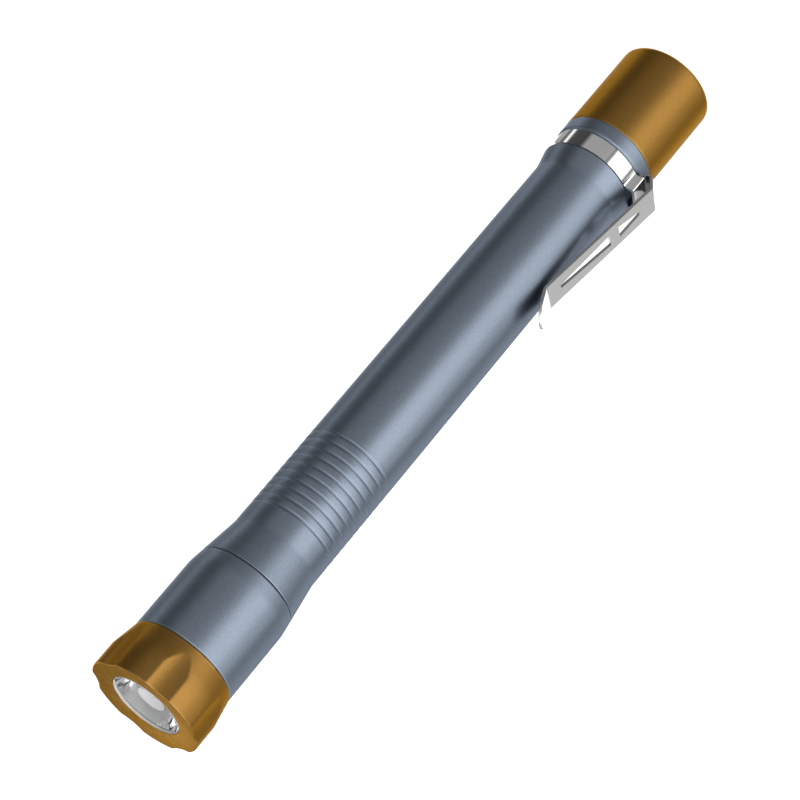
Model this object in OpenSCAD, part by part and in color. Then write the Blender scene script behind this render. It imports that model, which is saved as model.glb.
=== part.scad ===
// Penlight: two cells in line, tail press button, pocket clip, scalloped front ring.
// The origin is the centre of the tail face, +Z runs to the lens and the clip lies along +X.

/* [Cells] */
// Diameter of one cell over its sleeve
cell_diameter = 10.5; // [9.5:0.1:12]
// Length of one cell over its raised contact
cell_length = 44.5; // [38:0.5:52]
// Diameter of the raised positive contact
cell_nub_diameter = 3.8; // [3:0.1:4.5]
// Height of the raised positive contact
cell_nub_height = 0.9; // [0.6:0.1:1.4]
// Thickness of the plastic sleeve round a cell
sleeve_thickness = 0.12; // [0.08:0.01:0.25]
// Width of the sleeve's turned-in lip at each end
sleeve_lip = 1.2; // [0.8:0.1:2]
// Gap between a cell and the bore round it
cell_clearance = 0.15; // [0.1:0.01:0.4]

/* [Barrel] */
// Wall of the plain stretch of the barrel
barrel_wall = 1.85; // [1.6:0.05:3]
// Wall of the threaded stub that enters the tail cap
tail_stub_wall = 1.3; // [1.1:0.05:1.8]
// Length of the collar between the tail cap and the clip groove
collar_length = 2.8; // [1.8:0.1:5]
// How far the collar's surface lies below the tail cap's
collar_step = 0.03; // [0.01:0.01:0.2]
// Bevel on the collar's front edge
collar_bevel = 0.5; // [0.2:0.05:0.8]
// Height of the clip groove's floor above the plain barrel
clip_seat_rise = 0.2; // [0.05:0.05:0.5]
// Length of the tapered flare in front of the clip groove
flare_length = 3.35; // [1.5:0.05:6]
// How far the flare's top lies below the clip band's surface
flare_step = 0.05; // [0.01:0.01:0.2]
// Length of the taper that opens the barrel to the head
neck_length = 6.6; // [5:0.1:9]
// Number of grip grooves
grip_groove_count = 10; // [4:1:14]
// Distance from one grip groove to the next
grip_groove_pitch = 1.6; // [1.2:0.1:2.4]
// Width of one grip groove
grip_groove_width = 0.55; // [0.5:0.05:1]
// Depth of one grip groove
grip_groove_depth = 0.14; // [0.1:0.01:0.25]
// Distance from the last grip groove to the neck
grip_to_neck = 3.95; // [2:0.05:8]

/* [Threads and seals] */
// Pitch of all screw threads
thread_pitch = 0.8; // [0.5:0.05:1]
// Depth of all screw threads
thread_depth = 0.35; // [0.2:0.05:0.45]
// Number of thread ridges on the tail stub
tail_thread_count = 5; // [3:1:6]
// Number of thread ridges on the head's rear stub
head_thread_count = 4; // [3:1:5]
// Number of thread ridges on the head's front stub
bezel_thread_count = 4; // [3:1:5]
// Gap between a threaded stub and the bore round it
thread_clearance = 0.05; // [0.03:0.01:0.1]
// Section of the rubber ring at the tail seam
tail_ring_section = 0.8; // [0.6:0.05:0.9]
// Section of the rubber ring at the head seam
head_ring_section = 0.7; // [0.5:0.05:0.8]
// Gap between a rubber ring and the bore it seals
ring_clearance = 0.02; // [0.01:0.01:0.08]
// Distance from a seam to its rubber ring's groove
ring_setback = 0.9; // [0.5:0.1:1.6]
// Small bevel on both edges of every seam
seam_bevel = 0.14; // [0.05:0.01:0.3]

/* [Tail cap] */
// Length of the tail cap
cap_length = 17.4; // [16:0.1:24]
// Wall of the tail cap round its thread
cap_wall = 1.33; // [1:0.01:2.4]
// Thickness of the tail cap's end wall
cap_floor = 1.6; // [1.2:0.1:3]
// Radius of the rounded tail edge
cap_edge_radius = 0.8; // [0.3:0.1:1.2]
// Diameter of the hole for the rubber button
button_hole_diameter = 8.6; // [7:0.1:9.5]
// Bevel round the button hole
button_hole_bevel = 0.35; // [0.1:0.05:0.6]

/* [Switch] */
// Gap between the rubber button and its hole
button_clearance = 0.1; // [0.05:0.05:0.3]
// How far the button's face lies below the tail face
button_recess = 0.4; // [0.2:0.1:0.8]
// Radius of the rubber button's rounded edge
button_edge_radius = 0.6; // [0.3:0.1:0.7]
// Wall of the rubber button
button_wall = 0.7; // [0.5:0.05:0.75]
// Thickness of the rubber button's flange
button_flange = 0.8; // [0.5:0.1:1.2]
// Length of the spacer sleeve round the switch
spacer_length = 5.6; // [5:0.1:8]
// Wall of the spacer sleeve
spacer_wall = 1.7; // [1:0.1:1.9]
// Gap between the switch stack and the tail cap's bore
stack_clearance = 0.1; // [0.05:0.05:0.3]
// Diameter of the switch housing
housing_diameter = 9; // [8.6:0.1:9.4]
// Length of the switch housing
housing_length = 4.6; // [4.2:0.1:5]
// Thickness of the switch housing's end walls
housing_wall = 0.7; // [0.5:0.1:0.9]
// Diameter of the switch housing's hollow
housing_hollow_diameter = 5.6; // [5:0.1:6.4]
// Diameter of the plunger's stem
plunger_diameter = 3; // [2.4:0.1:3.4]
// Diameter of the plunger's head under the rubber
plunger_head_diameter = 5.2; // [4.4:0.1:5.6]
// Thickness of the plunger's head
plunger_head_height = 0.7; // [0.5:0.1:0.8]
// Diameter of the plunger's inner collar
plunger_collar_diameter = 4.8; // [4.4:0.1:4.9]
// Thickness of the plunger's inner collar
plunger_collar_height = 0.6; // [0.4:0.1:0.8]
// Gap round the plunger's stem
plunger_clearance = 0.05; // [0.03:0.01:0.1]
// Gap between the plunger's head and the rubber over it
plunger_gap = 0.1; // [0.05:0.05:0.2]
// Thickness of the switch's round board
switch_board_thickness = 0.8; // [0.6:0.1:1.2]
// Thickness of the threaded ring that holds the switch
switch_ring_height = 1.4; // [1:0.1:2]
// Wall of the threaded ring that holds the switch
switch_ring_wall = 2; // [1.4:0.1:2.2]
// Width of the ring's two spanner slots
spanner_slot_width = 1.2; // [0.8:0.1:1.8]
// Depth of the ring's two spanner slots
spanner_slot_depth = 0.6; // [0.3:0.1:0.8]

/* [Springs] */
// Length of the battery spring in the closed light
battery_spring_length = 5.2; // [4.8:0.1:8]
// Wire thickness of the battery spring
battery_spring_wire = 0.6; // [0.4:0.05:0.65]
// Outer diameter of the battery spring at the board
battery_spring_diameter = 8; // [7:0.1:8.4]
// Outer diameter of the battery spring at the cell
battery_spring_tip_diameter = 5.6; // [4.6:0.1:6.4]
// Turns of the battery spring
battery_spring_turns = 4; // [3:1:4]
// Length of the front contact spring in the closed light
contact_spring_length = 3.4; // [3.2:0.1:6]
// Wire thickness of the front contact spring
contact_spring_wire = 0.45; // [0.3:0.05:0.5]
// Outer diameter of the front contact spring at the board
contact_spring_diameter = 5; // [4.4:0.1:6]
// Outer diameter of the front contact spring at the cell
contact_spring_tip_diameter = 3.4; // [2.8:0.1:3.8]
// Turns of the front contact spring
contact_spring_turns = 3; // [2:1:3]
// Wire thickness of the switch spring
switch_spring_wire = 0.3; // [0.2:0.05:0.35]
// Outer diameter of the switch spring
switch_spring_diameter = 4.4; // [3.8:0.1:4.6]
// Turns of the switch spring
switch_spring_turns = 3; // [2:1:3]

/* [Head] */
// Length of the head from the neck seam to the bezel seam
head_length = 14.7; // [12:0.1:22]
// Outer diameter of the head
head_diameter = 16.98; // [16:0.02:20]
// Length of the head's taper behind the plain stretch
head_taper_length = 2.4; // [1.5:0.1:4]
// Length of the head's rear stub inside the barrel
head_stub_length = 6.2; // [5.6:0.1:8]
// Wall of the head's rear stub
head_stub_wall = 1.15; // [1.1:0.01:1.3]
// Gap between the rear stub's end and the barrel's step
head_stub_gap = 0.2; // [0.1:0.1:0.6]
// Diameter of the head's wide bore
head_bore_diameter = 13.8; // [13.4:0.1:14]
// Distance from the neck seam to the step in the head's bore
head_step = 1; // [0.6:0.1:2]
// Wall of the head's front stub inside the bezel
bezel_stub_wall = 0.7; // [0.6:0.05:0.8]
// Length of the head's front stub inside the bezel
bezel_stub_length = 4.7; // [4.2:0.1:5]

/* [Bezel] */
// Outer diameter of the bezel's front band
bezel_diameter = 18.54; // [18:0.02:21]
// Length of the bezel's coned rear
bezel_taper_length = 4.4; // [3:0.1:6]
// Length of the bezel's front band
bezel_band_length = 4.2; // [3.6:0.1:6]
// Number of scallops
scallop_count = 6; // [4:1:8]
// Depth of one scallop below the front band
scallop_depth = 0.53; // [0.3:0.01:0.6]
// Radius of the cutter that makes a scallop
scallop_radius = 7.15; // [4:0.05:10]
// Turn of the scallops from the clip
scallop_turn = 1.2; // [0:0.1:59]
// Bevel round the front edge
front_bevel = 0.3; // [0.1:0.05:0.5]
// Diameter of the bezel's opening
opening_diameter = 11.76; // [10:0.02:12.4]
// Thickness of the bezel's lip over the optic
lip_thickness = 1.3; // [0.8:0.1:2]
// How far the front face sinks from its outer edge to the opening
front_dish = 0.35; // [0.1:0.05:0.5]

/* [Optic] */
// How far the optic's face lies behind the front edge
optic_recess = 0.35; // [0.2:0.05:0.7]
// Gap between the optic's face and the opening
optic_clearance = 0.08; // [0.05:0.01:0.2]
// Gap between the optic or its holder and the bore
optic_side_gap = 0.1; // [0.05:0.01:0.2]
// Thickness of the optic's flange
optic_flange = 0.9; // [0.6:0.1:1.4]
// Thickness of the rubber ring in front of the flange
lens_seal_section = 0.6; // [0.5:0.05:0.8]
// Height of the optic's holder
holder_height = 6.3; // [5.6:0.1:8]
// Gap between the optic's cone and its holder
holder_gap = 0.15; // [0.1:0.05:0.3]
// Radius of the optic's cone under the flange
optic_cone_radius = 6; // [5.6:0.05:6.2]
// Radius of the optic's rear rim
optic_rear_radius = 2.9; // [2.7:0.05:3.2]
// Distance from the led board to the optic's rear rim
optic_rear_gap = 0.75; // [0.6:0.05:1.2]
// Radius of the hollow over the light source
optic_hollow_radius = 2.36; // [2:0.02:2.5]
// Depth of the hollow over the light source
optic_hollow_depth = 3.6; // [2.6:0.1:4.2]
// Bulge of the hollow's top towards the light source
optic_hollow_bulge = 0.45; // [0.2:0.05:0.8]

/* [Light engine] */
// Thickness of the led board
led_board_thickness = 1; // [0.8:0.1:1.6]
// Diameter of the led board
led_board_diameter = 12.6; // [11:0.1:13]
// Side of the square light source
led_side = 3.45; // [2.6:0.05:3.6]
// Thickness of the light source's base
led_base_height = 0.6; // [0.4:0.05:0.8]
// Side of the light-giving square on the base
led_chip_side = 1.5; // [1:0.1:1.8]
// Thickness of the light-giving square
led_chip_height = 0.12; // [0.08:0.02:0.2]
// Diameter of the clear dome over the light source
led_dome_diameter = 2.7; // [2.4:0.1:3]
// Thickness of the heat sink's top
pill_top = 2.4; // [1.4:0.1:4]
// Wall of the heat sink's neck
pill_neck_wall = 0.85; // [0.6:0.05:1.2]
// Gap between the heat sink and the head's bores
pill_clearance = 0.05; // [0.03:0.01:0.1]
// Thickness of the driver board
driver_board_thickness = 1; // [0.8:0.1:1.6]
// Thickness of the ring that holds the driver board
driver_ring_height = 0.8; // [0.6:0.1:1.2]
// Wall of the ring that holds the driver board
driver_ring_wall = 1.15; // [0.8:0.05:1.6]
// Diameter of the driver's coil
boost_coil_diameter = 3.6; // [2.4:0.1:4]
// Height of the driver's coil
boost_coil_height = 2.2; // [1.4:0.1:3]
// Side of the driver's chip
driver_chip_side = 2.4; // [1.6:0.1:2.8]
// Height of the driver's chip
driver_chip_height = 1; // [0.6:0.1:1.4]
// Distance from the axis to the driver's coil and chip
driver_part_offset = 2.2; // [2.1:0.1:2.5]
// Thickness of one led lead over its insulation
lead_diameter = 0.8; // [0.5:0.1:1]
// Diameter of a lead's hole in the heat sink
lead_hole_diameter = 1.2; // [1.1:0.1:1.5]
// Distance from the axis to each lead
lead_offset = 3.6; // [3.4:0.1:3.8]

/* [Pocket clip] */
// Thickness of the spring steel
clip_thickness = 0.5; // [0.4:0.05:0.6]
// Width of the band along the barrel
band_width = 3.1; // [2.4:0.1:5]
// Gap between the band and each wall of its groove
band_side_gap = 0.12; // [0.05:0.01:0.3]
// Gap between the band and the groove's floor
band_clearance = 0.05; // [0.02:0.01:0.1]
// Angle of the band's open side, opposite the tongue
band_open_angle = 88; // [20:2:120]
// Width of the tongue
tongue_width = 4.84; // [4:0.02:5.6]
// Height of the raised bridge's face over the barrel's axis
bridge_height = 9.28; // [9.1:0.02:9.6]
// Outer radius of the fold's first bend
fold_radius = 1; // [0.8:0.05:1.3]
// Flat between the bridge's face and the fold's first bend
fold_flat = 0.28; // [0.1:0.02:0.6]
// How far the fold reaches behind the band's rear edge
fold_setback = 1.07; // [0.9:0.01:1.1]
// Rise of the fold's straight part from a plane across the barrel, in degrees
fold_rise = 56; // [50:1:62]
// Length of the fold's straight part
fold_straight = 2.04; // [1.8:0.02:2.3]
// Outer radius of the bend between the fold and the tongue
shoulder_radius = 0.75; // [0.6:0.05:1]
// Slope of the tongue towards the barrel in degrees
tongue_slope = 7.7; // [4:0.1:8.2]
// Length of the sloping tongue from the fold to the tip's bend
tongue_length = 24.6; // [22:0.1:25]
// Outward slope of the tip in degrees
tip_slope = 23.4; // [10:0.1:35]
// Length of the tip
tip_length = 5.5; // [3.5:0.1:8]
// How far the circle of the tip's round end reaches past each side of the tongue
tip_round_excess = 0.08; // [0.04:0.02:0.3]
// Gap left at the root of the tongue for its flex
flex_gap = 0.1; // [0.05:0.01:0.2]
// Distance from the tip's bend to the long slot's narrow end
slot_setback = 2.9; // [1:0.1:3]
// Length of the long wedge slot
long_slot_length = 11.5; // [6:0.1:12]
// Length of the short wedge slot
short_slot_length = 4.7; // [3:0.1:5]
// Width of the bar between the slots
slot_bar = 2.1; // [1:0.1:3]
// Width of the slots at the bar
slot_wide = 2.2; // [1.2:0.1:2.6]
// Width of the slots at their narrow ends
slot_narrow = 0.7; // [0.4:0.05:1]

/* [Hidden] */
$fn = 96;

// One overrun serves every cut
cut_over = 1;

// Radii that follow from the cell outwards
cell_r = cell_diameter / 2;
bore_r = cell_r + cell_clearance;
barrel_r = bore_r + barrel_wall;
tail_stub_r = bore_r + tail_stub_wall;
cap_bore_r = tail_stub_r + thread_clearance;
cap_r = cap_bore_r + cap_wall;
collar_r = cap_r - collar_step;
clip_seat_r = barrel_r + clip_seat_rise;
band_in_r = clip_seat_r + band_clearance;
band_out_r = band_in_r + clip_thickness;
flare_r = band_out_r - flare_step;
head_stub_r = bore_r + head_stub_wall;
head_socket_r = head_stub_r + thread_clearance;
head_r = head_diameter / 2;
head_bore_r = head_bore_diameter / 2;
bezel_stub_r = head_bore_r + bezel_stub_wall;
bezel_bore_r = bezel_stub_r + thread_clearance;
bezel_r = bezel_diameter / 2;
seam_r = barrel_r + (head_r - barrel_r) * neck_length / (neck_length + head_taper_length);
opening_r = opening_diameter / 2;
button_hole_r = button_hole_diameter / 2;
button_r = button_hole_r - button_clearance;
stack_r = cap_bore_r - stack_clearance;

// Heights above the tail face, from the button forwards
spacer_z = cap_floor + button_flange;
switch_board_z = spacer_z + spacer_length;
switch_ring_z = switch_board_z + switch_board_thickness;
tail_stub_z = switch_ring_z + switch_ring_height;
rear_cell_z = switch_ring_z + battery_spring_length;
front_cell_z = rear_cell_z + cell_length;
cells_end_z = front_cell_z + cell_length;
driver_board_z = cells_end_z + contact_spring_length;
driver_top_z = driver_board_z + driver_board_thickness;
head_stub_z = driver_board_z - driver_ring_height;
head_seam_z = head_stub_z + head_stub_length;
head_step_z = head_seam_z + head_step;
neck_z = head_seam_z - neck_length;
collar_z = cap_length;
groove_z = collar_z + collar_length;
groove_width = band_width + 2 * band_side_gap;
flare_z = groove_z + groove_width;
straight_z = flare_z + flare_length;
bezel_seam_z = head_seam_z + head_length;
bezel_band_z = bezel_seam_z + bezel_taper_length;
front_z = bezel_band_z + bezel_band_length;
lip_z = front_z - lip_thickness;
flange_top_z = lip_z - lens_seal_section;
holder_top_z = flange_top_z - optic_flange;
led_board_top_z = holder_top_z - holder_height;
pill_top_z = led_board_top_z - led_board_thickness;
bezel_stub_z = bezel_seam_z + bezel_stub_length;
housing_z = switch_board_z - housing_length;

// Pocket clip: the band's rear edge, the bridge's underside, the centres of the fold's two bends
// and the slots
band_z = groove_z + band_side_gap;
bridge_x = bridge_height - clip_thickness;
fold_x = bridge_height + fold_flat;
fold_z = band_z - fold_setback + fold_radius;
bend_change = fold_radius - shoulder_radius;
shoulder_x = fold_x + fold_straight * cos(fold_rise) + bend_change * sin(fold_rise);
shoulder_z = fold_z + fold_straight * sin(fold_rise) - bend_change * cos(fold_rise);
slot_end = tongue_length - slot_setback;
slot_mid = slot_end - long_slot_length;
tip_round = tongue_width / 2 + tip_round_excess;

// Rounds and springs
arc_steps = 12;
coil_rings = 8;
coil_sides = 6;

// Tube of length h between radii r_out and r_in, standing at height z
module tube(r_out, r_in, z, h) {
  translate([0, 0, z]) difference() {
    cylinder(r = r_out, h = h);
    translate([0, 0, -cut_over]) cylinder(r = r_in, h = h + 2 * cut_over);
  }
}

// Rubber ring with centre radius r at height z
module round_ring(r, z, section) {
  translate([0, 0, z]) rotate_extrude() translate([r, 0]) circle(d = section);
}

// V-shaped ring grooves that stand for a cut thread
module thread_cuts(r, z, count) {
  for (i = [0 : count - 1])
    translate([0, 0, z + i * thread_pitch]) rotate_extrude()
      polygon([
        [r - thread_depth, 0],
        [r + thread_depth, -thread_pitch / 2],
        [r + thread_depth, thread_pitch / 2]
      ]);
}

// Ring groove that seats a rubber ring of this section under a bore of radius r
module seal_cut(r, z, section) {
  translate([0, 0, z]) rotate_extrude()
    translate([r - ring_clearance - section, -section / 2 - ring_clearance])
      square([section + cut_over, section + 2 * ring_clearance]);
}

// Centre of the curl's tube after i rings, on a spring that narrows from r_a to r_b
function coil_share(i, turns) = i / (turns * coil_rings);
function coil_r(i, turns, r_a, r_b) = r_a + (r_b - r_a) * coil_share(i, turns);
function coil_point(i, turns, r_a, r_b, rise) =
  [
    coil_r(i, turns, r_a, r_b) * cos(360 * i / coil_rings),
    coil_r(i, turns, r_a, r_b) * sin(360 * i / coil_rings),
    rise * coil_share(i, turns)
  ];

// Least clear distance between one curl and the next, measured between the tube's centres
function coil_gap(turns, r_a, r_b, rise, wire) =
  min([
    for (i = [0 : (turns - 1) * coil_rings])
      norm(coil_point(i + coil_rings, turns, r_a, r_b, rise)
        - coil_point(i, turns, r_a, r_b, rise)) - wire
  ]);

// One unbroken wire wound from height 0 to length
module coil_spring(d_a, d_b, length, turns, wire) {
  r_a = (d_a - wire) / 2;
  r_b = (d_b - wire) / 2;
  rise = length - wire;
  ring_count = turns * coil_rings;
  points = [
    for (i = [0 : ring_count])
      for (j = [0 : coil_sides - 1])
        let (turn = 360 * i / coil_rings, side = 360 * j / coil_sides)
          coil_point(i, turns, r_a, r_b, rise)
            + wire / 2 * [cos(side) * cos(turn), cos(side) * sin(turn), sin(side) + 1]
  ];
  walls = [
    for (i = [0 : ring_count - 1])
      for (j = [0 : coil_sides - 1])
        let (a = i * coil_sides, b = a + coil_sides, k = (j + 1) % coil_sides)
          for (face = [[a + j, a + k, b + k], [a + j, b + k, b + j]])
            face
  ];
  last = ring_count * coil_sides;
  start_cap = [for (j = [1 : coil_sides - 2]) [0, j + 1, j]];
  end_cap = [for (j = [1 : coil_sides - 2]) [last, last + j, last + j + 1]];
  polyhedron(points = points, faces = concat(walls, start_cap, end_cap));
}

// Barrel: turned tube with collar, clip groove, flare, grip grooves, neck and two thread seats
module barrel() {
  socket_z = head_stub_z - head_stub_gap;
  color([0.36, 0.41, 0.48]) difference() {
    rotate_extrude() polygon([
      [bore_r, tail_stub_z],
      [tail_stub_r - seam_bevel, tail_stub_z],
      [tail_stub_r, tail_stub_z + seam_bevel],
      [tail_stub_r, collar_z],
      [collar_r - seam_bevel, collar_z],
      [collar_r, collar_z + seam_bevel],
      [collar_r, groove_z - collar_bevel],
      [collar_r - collar_bevel, groove_z],
      [clip_seat_r, groove_z],
      [clip_seat_r, flare_z],
      [flare_r, flare_z],
      [barrel_r, straight_z],
      [barrel_r, neck_z],
      [seam_r - seam_bevel, head_seam_z - seam_bevel],
      [seam_r - 2 * seam_bevel, head_seam_z],
      [head_socket_r, head_seam_z],
      [head_socket_r, socket_z],
      [bore_r, socket_z]
    ]);
    grip_cuts();
    thread_cuts(tail_stub_r, tail_stub_z + thread_pitch, tail_thread_count);
    seal_cut(cap_bore_r, tail_ring_z(), tail_ring_section);
  }
}

// Heights of the two rubber rings
function tail_ring_z() = collar_z - ring_setback - tail_ring_section / 2;
function head_ring_z() = head_seam_z - ring_setback - head_ring_section / 2;

// Round-bottomed ring grooves of the grip
module grip_cuts() {
  half = grip_groove_width / 2;
  groove_r = (half * half + grip_groove_depth * grip_groove_depth) / (2 * grip_groove_depth);
  for (i = [0 : grip_groove_count - 1])
    translate([0, 0, neck_z - grip_to_neck - i * grip_groove_pitch]) rotate_extrude()
      translate([barrel_r - grip_groove_depth + groove_r, 0]) circle(r = groove_r);
}

// Head: turned sleeve with a rear stub in the barrel and a front stub in the bezel
module head() {
  color([0.36, 0.41, 0.48]) difference() {
    rotate_extrude() polygon([
      [bore_r, head_stub_z],
      [head_stub_r - seam_bevel, head_stub_z],
      [head_stub_r, head_stub_z + seam_bevel],
      [head_stub_r, head_seam_z],
      [seam_r - 2 * seam_bevel, head_seam_z],
      [seam_r - seam_bevel, head_seam_z + seam_bevel],
      [head_r, head_seam_z + head_taper_length],
      [head_r, bezel_seam_z - seam_bevel],
      [head_r - seam_bevel, bezel_seam_z],
      [bezel_stub_r, bezel_seam_z],
      [bezel_stub_r, bezel_stub_z - seam_bevel],
      [bezel_stub_r - seam_bevel, bezel_stub_z],
      [head_bore_r, bezel_stub_z],
      [head_bore_r, head_step_z],
      [bore_r, head_step_z]
    ]);
    thread_cuts(head_stub_r, head_stub_z + thread_pitch, head_thread_count);
    seal_cut(head_socket_r, head_ring_z(), head_ring_section);
    thread_cuts(bezel_stub_r, bezel_seam_z + thread_pitch, bezel_thread_count);
  }
}

// Bezel: coned ring with scallops, a dished front face and a lip over the optic
module bezel() {
  flange_bore_r = head_bore_r;
  scallop_x = bezel_r - scallop_depth + scallop_radius;
  color([0.6, 0.42, 0.16]) difference() {
    rotate_extrude() polygon([
      [bezel_bore_r, bezel_seam_z],
      [head_r - seam_bevel, bezel_seam_z],
      [head_r, bezel_seam_z + seam_bevel],
      [bezel_r, bezel_band_z],
      [bezel_r, front_z - front_bevel],
      [bezel_r - front_bevel, front_z],
      [opening_r, front_z - front_dish],
      [opening_r, lip_z],
      [flange_bore_r, lip_z],
      [flange_bore_r, bezel_stub_z + head_stub_gap],
      [bezel_bore_r, bezel_stub_z + head_stub_gap]
    ]);
    for (i = [0 : scallop_count - 1])
      rotate([0, 0, i * 360 / scallop_count - scallop_turn])
        translate([scallop_x, 0, bezel_seam_z - cut_over])
          cylinder(r = scallop_radius, h = front_z - bezel_seam_z + 2 * cut_over);
  }
}

// Tail cap: closed turned cap with a hole for the rubber button
module tail_cap() {
  mouth_r = cap_r - seam_bevel;
  color([0.6, 0.42, 0.16]) rotate_extrude() difference() {
    polygon([
      [button_hole_r, button_hole_bevel],
      [button_hole_r + button_hole_bevel, 0],
      [cap_r, 0],
      [cap_r, cap_length - seam_bevel],
      [mouth_r, cap_length],
      [cap_bore_r, cap_length],
      [cap_bore_r, cap_floor],
      [button_hole_r, cap_floor]
    ]);
    translate([cap_r - cap_edge_radius, 0]) difference() {
      translate([0, -cut_over]) square([cap_edge_radius + cut_over, cap_edge_radius + cut_over]);
      translate([0, cap_edge_radius]) circle(r = cap_edge_radius);
    }
  }
}

// Clip band: open spring ring with round ends, two upright legs and a bridge
module clip_band() {
  half = tongue_width / 2;
  open_reach = 2 * band_out_r;
  end_turn = band_open_angle / 2 + asin(band_width / 2 / band_out_r);
  open_half = open_reach * tan(end_turn);
  bridge_z = fold_z - fold_radius + clip_thickness + flex_gap;
  color([0.75, 0.75, 0.75]) union() {
    translate([0, 0, band_z]) linear_extrude(height = band_width) difference() {
      union() {
        circle(r = band_out_r);
        translate([0, -half]) square([bridge_height, tongue_width]);
      }
      circle(r = band_in_r);
      translate([0, clip_thickness - half]) square([bridge_x, tongue_width - 2 * clip_thickness]);
      polygon([[0, 0], [-open_reach, open_half], [-open_reach, -open_half]]);
    }
    band_end(180 - end_turn);
    band_end(180 + end_turn);
    translate([bridge_x, -half, bridge_z])
      cube([clip_thickness, tongue_width, band_z + band_width - bridge_z]);
  }
}

// Round end of the band: a disc of the ring's own wall, its centre at this turn
module band_end(turn) {
  intersection() {
    tube(band_out_r, band_in_r, band_z - cut_over, band_width + 2 * cut_over);
    translate([0, 0, band_z + band_width / 2]) rotate([0, 0, turn]) rotate([0, 90, 0])
      cylinder(r = band_width / 2, h = band_out_r + cut_over);
  }
}

// Wedge slot that runs along the tongue from a to b, half its width given at both ends
module wedge_slot(a, b, half_a, half_b) {
  translate([-clip_thickness - cut_over, 0, 0]) rotate([90, 0, 90])
    linear_extrude(height = clip_thickness + 2 * cut_over)
      polygon([[-half_a, a], [half_a, a], [half_b, b], [-half_b, b]]);
}

// Clip tongue: fold behind the bridge, sloping tongue with two slots, flared tip
module clip_tongue() {
  half = tongue_width / 2;
  wide = slot_wide / 2;
  narrow = slot_narrow / 2;
  bar_z = slot_mid - slot_bar;
  color([0.75, 0.75, 0.75]) difference() {
    translate([0, half, 0]) rotate([90, 0, 0])
      linear_extrude(height = tongue_width) tongue_outline();
    on_tongue() {
      wedge_slot(slot_mid, slot_end, wide, narrow);
      wedge_slot(bar_z - short_slot_length, bar_z, narrow, wide);
      translate([0, 0, tongue_length]) rotate([0, tongue_slope + tip_slope, 0])
        translate([-clip_thickness, 0, tip_length - tip_round]) tip_corners();
    }
  }
}

// What is cut off the tip's two corners to round its end
module tip_corners() {
  deep = clip_thickness + 2 * cut_over;
  difference() {
    translate([-cut_over, -tongue_width, 0]) cube([deep, 2 * tongue_width, tongue_width]);
    translate([-2 * cut_over, 0, 0]) rotate([0, 90, 0])
      cylinder(r = tip_round, h = deep + 2 * cut_over);
  }
}

// Places children on the outer face of the tongue, where its straight plate starts
module on_tongue() {
  translate([shoulder_x, 0, shoulder_z]) rotate([0, -tongue_slope, 0])
    translate([shoulder_radius, 0, 0]) children();
}

// Side outline of the folded sheet: round root, fold, straight, shoulder, plate and flared tip
module tongue_outline() {
  fold = [fold_x, fold_z];
  shoulder = [shoulder_x, shoulder_z];
  root = [bridge_x + clip_thickness / 2, fold_z - fold_radius + clip_thickness / 2];
  rise = fold_rise - 90;
  outwards = [cos(tongue_slope), sin(tongue_slope)];
  along = [-sin(tongue_slope), cos(tongue_slope)];
  corner = shoulder + shoulder_radius * outwards + tongue_length * along;
  tip_in = [-cos(tip_slope), sin(tip_slope)];
  tip_end = corner + tip_length * [sin(tip_slope), cos(tip_slope)];
  polygon(concat(
    arc_points(root, clip_thickness / 2, 90, 270),
    arc_points(fold, fold_radius, -90, rise),
    arc_points(shoulder, shoulder_radius, rise, tongue_slope),
    [corner, tip_end, tip_end + clip_thickness * tip_in],
    arc_points(corner, clip_thickness, 180 - tip_slope, 180 + tongue_slope),
    arc_points(shoulder, shoulder_radius - clip_thickness, tongue_slope, rise),
    arc_points(fold, fold_radius - clip_thickness, rise, -90)
  ));
}

// Points of an arc round a centre, between two directions
function arc_points(centre, r, from, to) = [
  for (i = [0 : arc_steps])
    let (turn = from + (to - from) * i / arc_steps)
      centre + r * [cos(turn), sin(turn)]
];

// Steel can of one cell, standing at height z
module cell(z) {
  can_r = cell_r - sleeve_thickness;
  can_h = cell_length - cell_nub_height - 2 * sleeve_thickness;
  color([0.8, 0.8, 0.78]) translate([0, 0, z]) {
    translate([0, 0, sleeve_thickness]) cylinder(r = can_r, h = can_h);
    cylinder(r = can_r - sleeve_lip, h = sleeve_thickness + cut_over);
    translate([0, 0, can_h]) cylinder(d = cell_nub_diameter, h = cell_length - can_h);
  }
}

// Plastic sleeve of one cell with its turned-in lips
module cell_sleeve(z) {
  sleeve_h = cell_length - cell_nub_height;
  can_r = cell_r - sleeve_thickness;
  lip_r = cell_r - sleeve_lip;
  color([0.25, 0.27, 0.3]) translate([0, 0, z]) rotate_extrude() polygon([
    [lip_r, 0],
    [cell_r, 0],
    [cell_r, sleeve_h],
    [lip_r, sleeve_h],
    [lip_r, sleeve_h - sleeve_thickness],
    [can_r, sleeve_h - sleeve_thickness],
    [can_r, sleeve_thickness],
    [lip_r, sleeve_thickness]
  ]);
}

module front_cell() { cell(front_cell_z); }
module rear_cell() { cell(rear_cell_z); }
module front_cell_sleeve() { cell_sleeve(front_cell_z); }
module rear_cell_sleeve() { cell_sleeve(rear_cell_z); }

// Battery spring: cone of wire on the switch board
module battery_spring() {
  color([0.85, 0.7, 0.35]) translate([0, 0, switch_ring_z])
    coil_spring(battery_spring_diameter, battery_spring_tip_diameter,
      battery_spring_length, battery_spring_turns, battery_spring_wire);
}

// Front contact spring: cone of wire under the driver board
module contact_spring() {
  color([0.85, 0.7, 0.35]) translate([0, 0, cells_end_z])
    coil_spring(contact_spring_tip_diameter, contact_spring_diameter,
      contact_spring_length, contact_spring_turns, contact_spring_wire);
}

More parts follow.
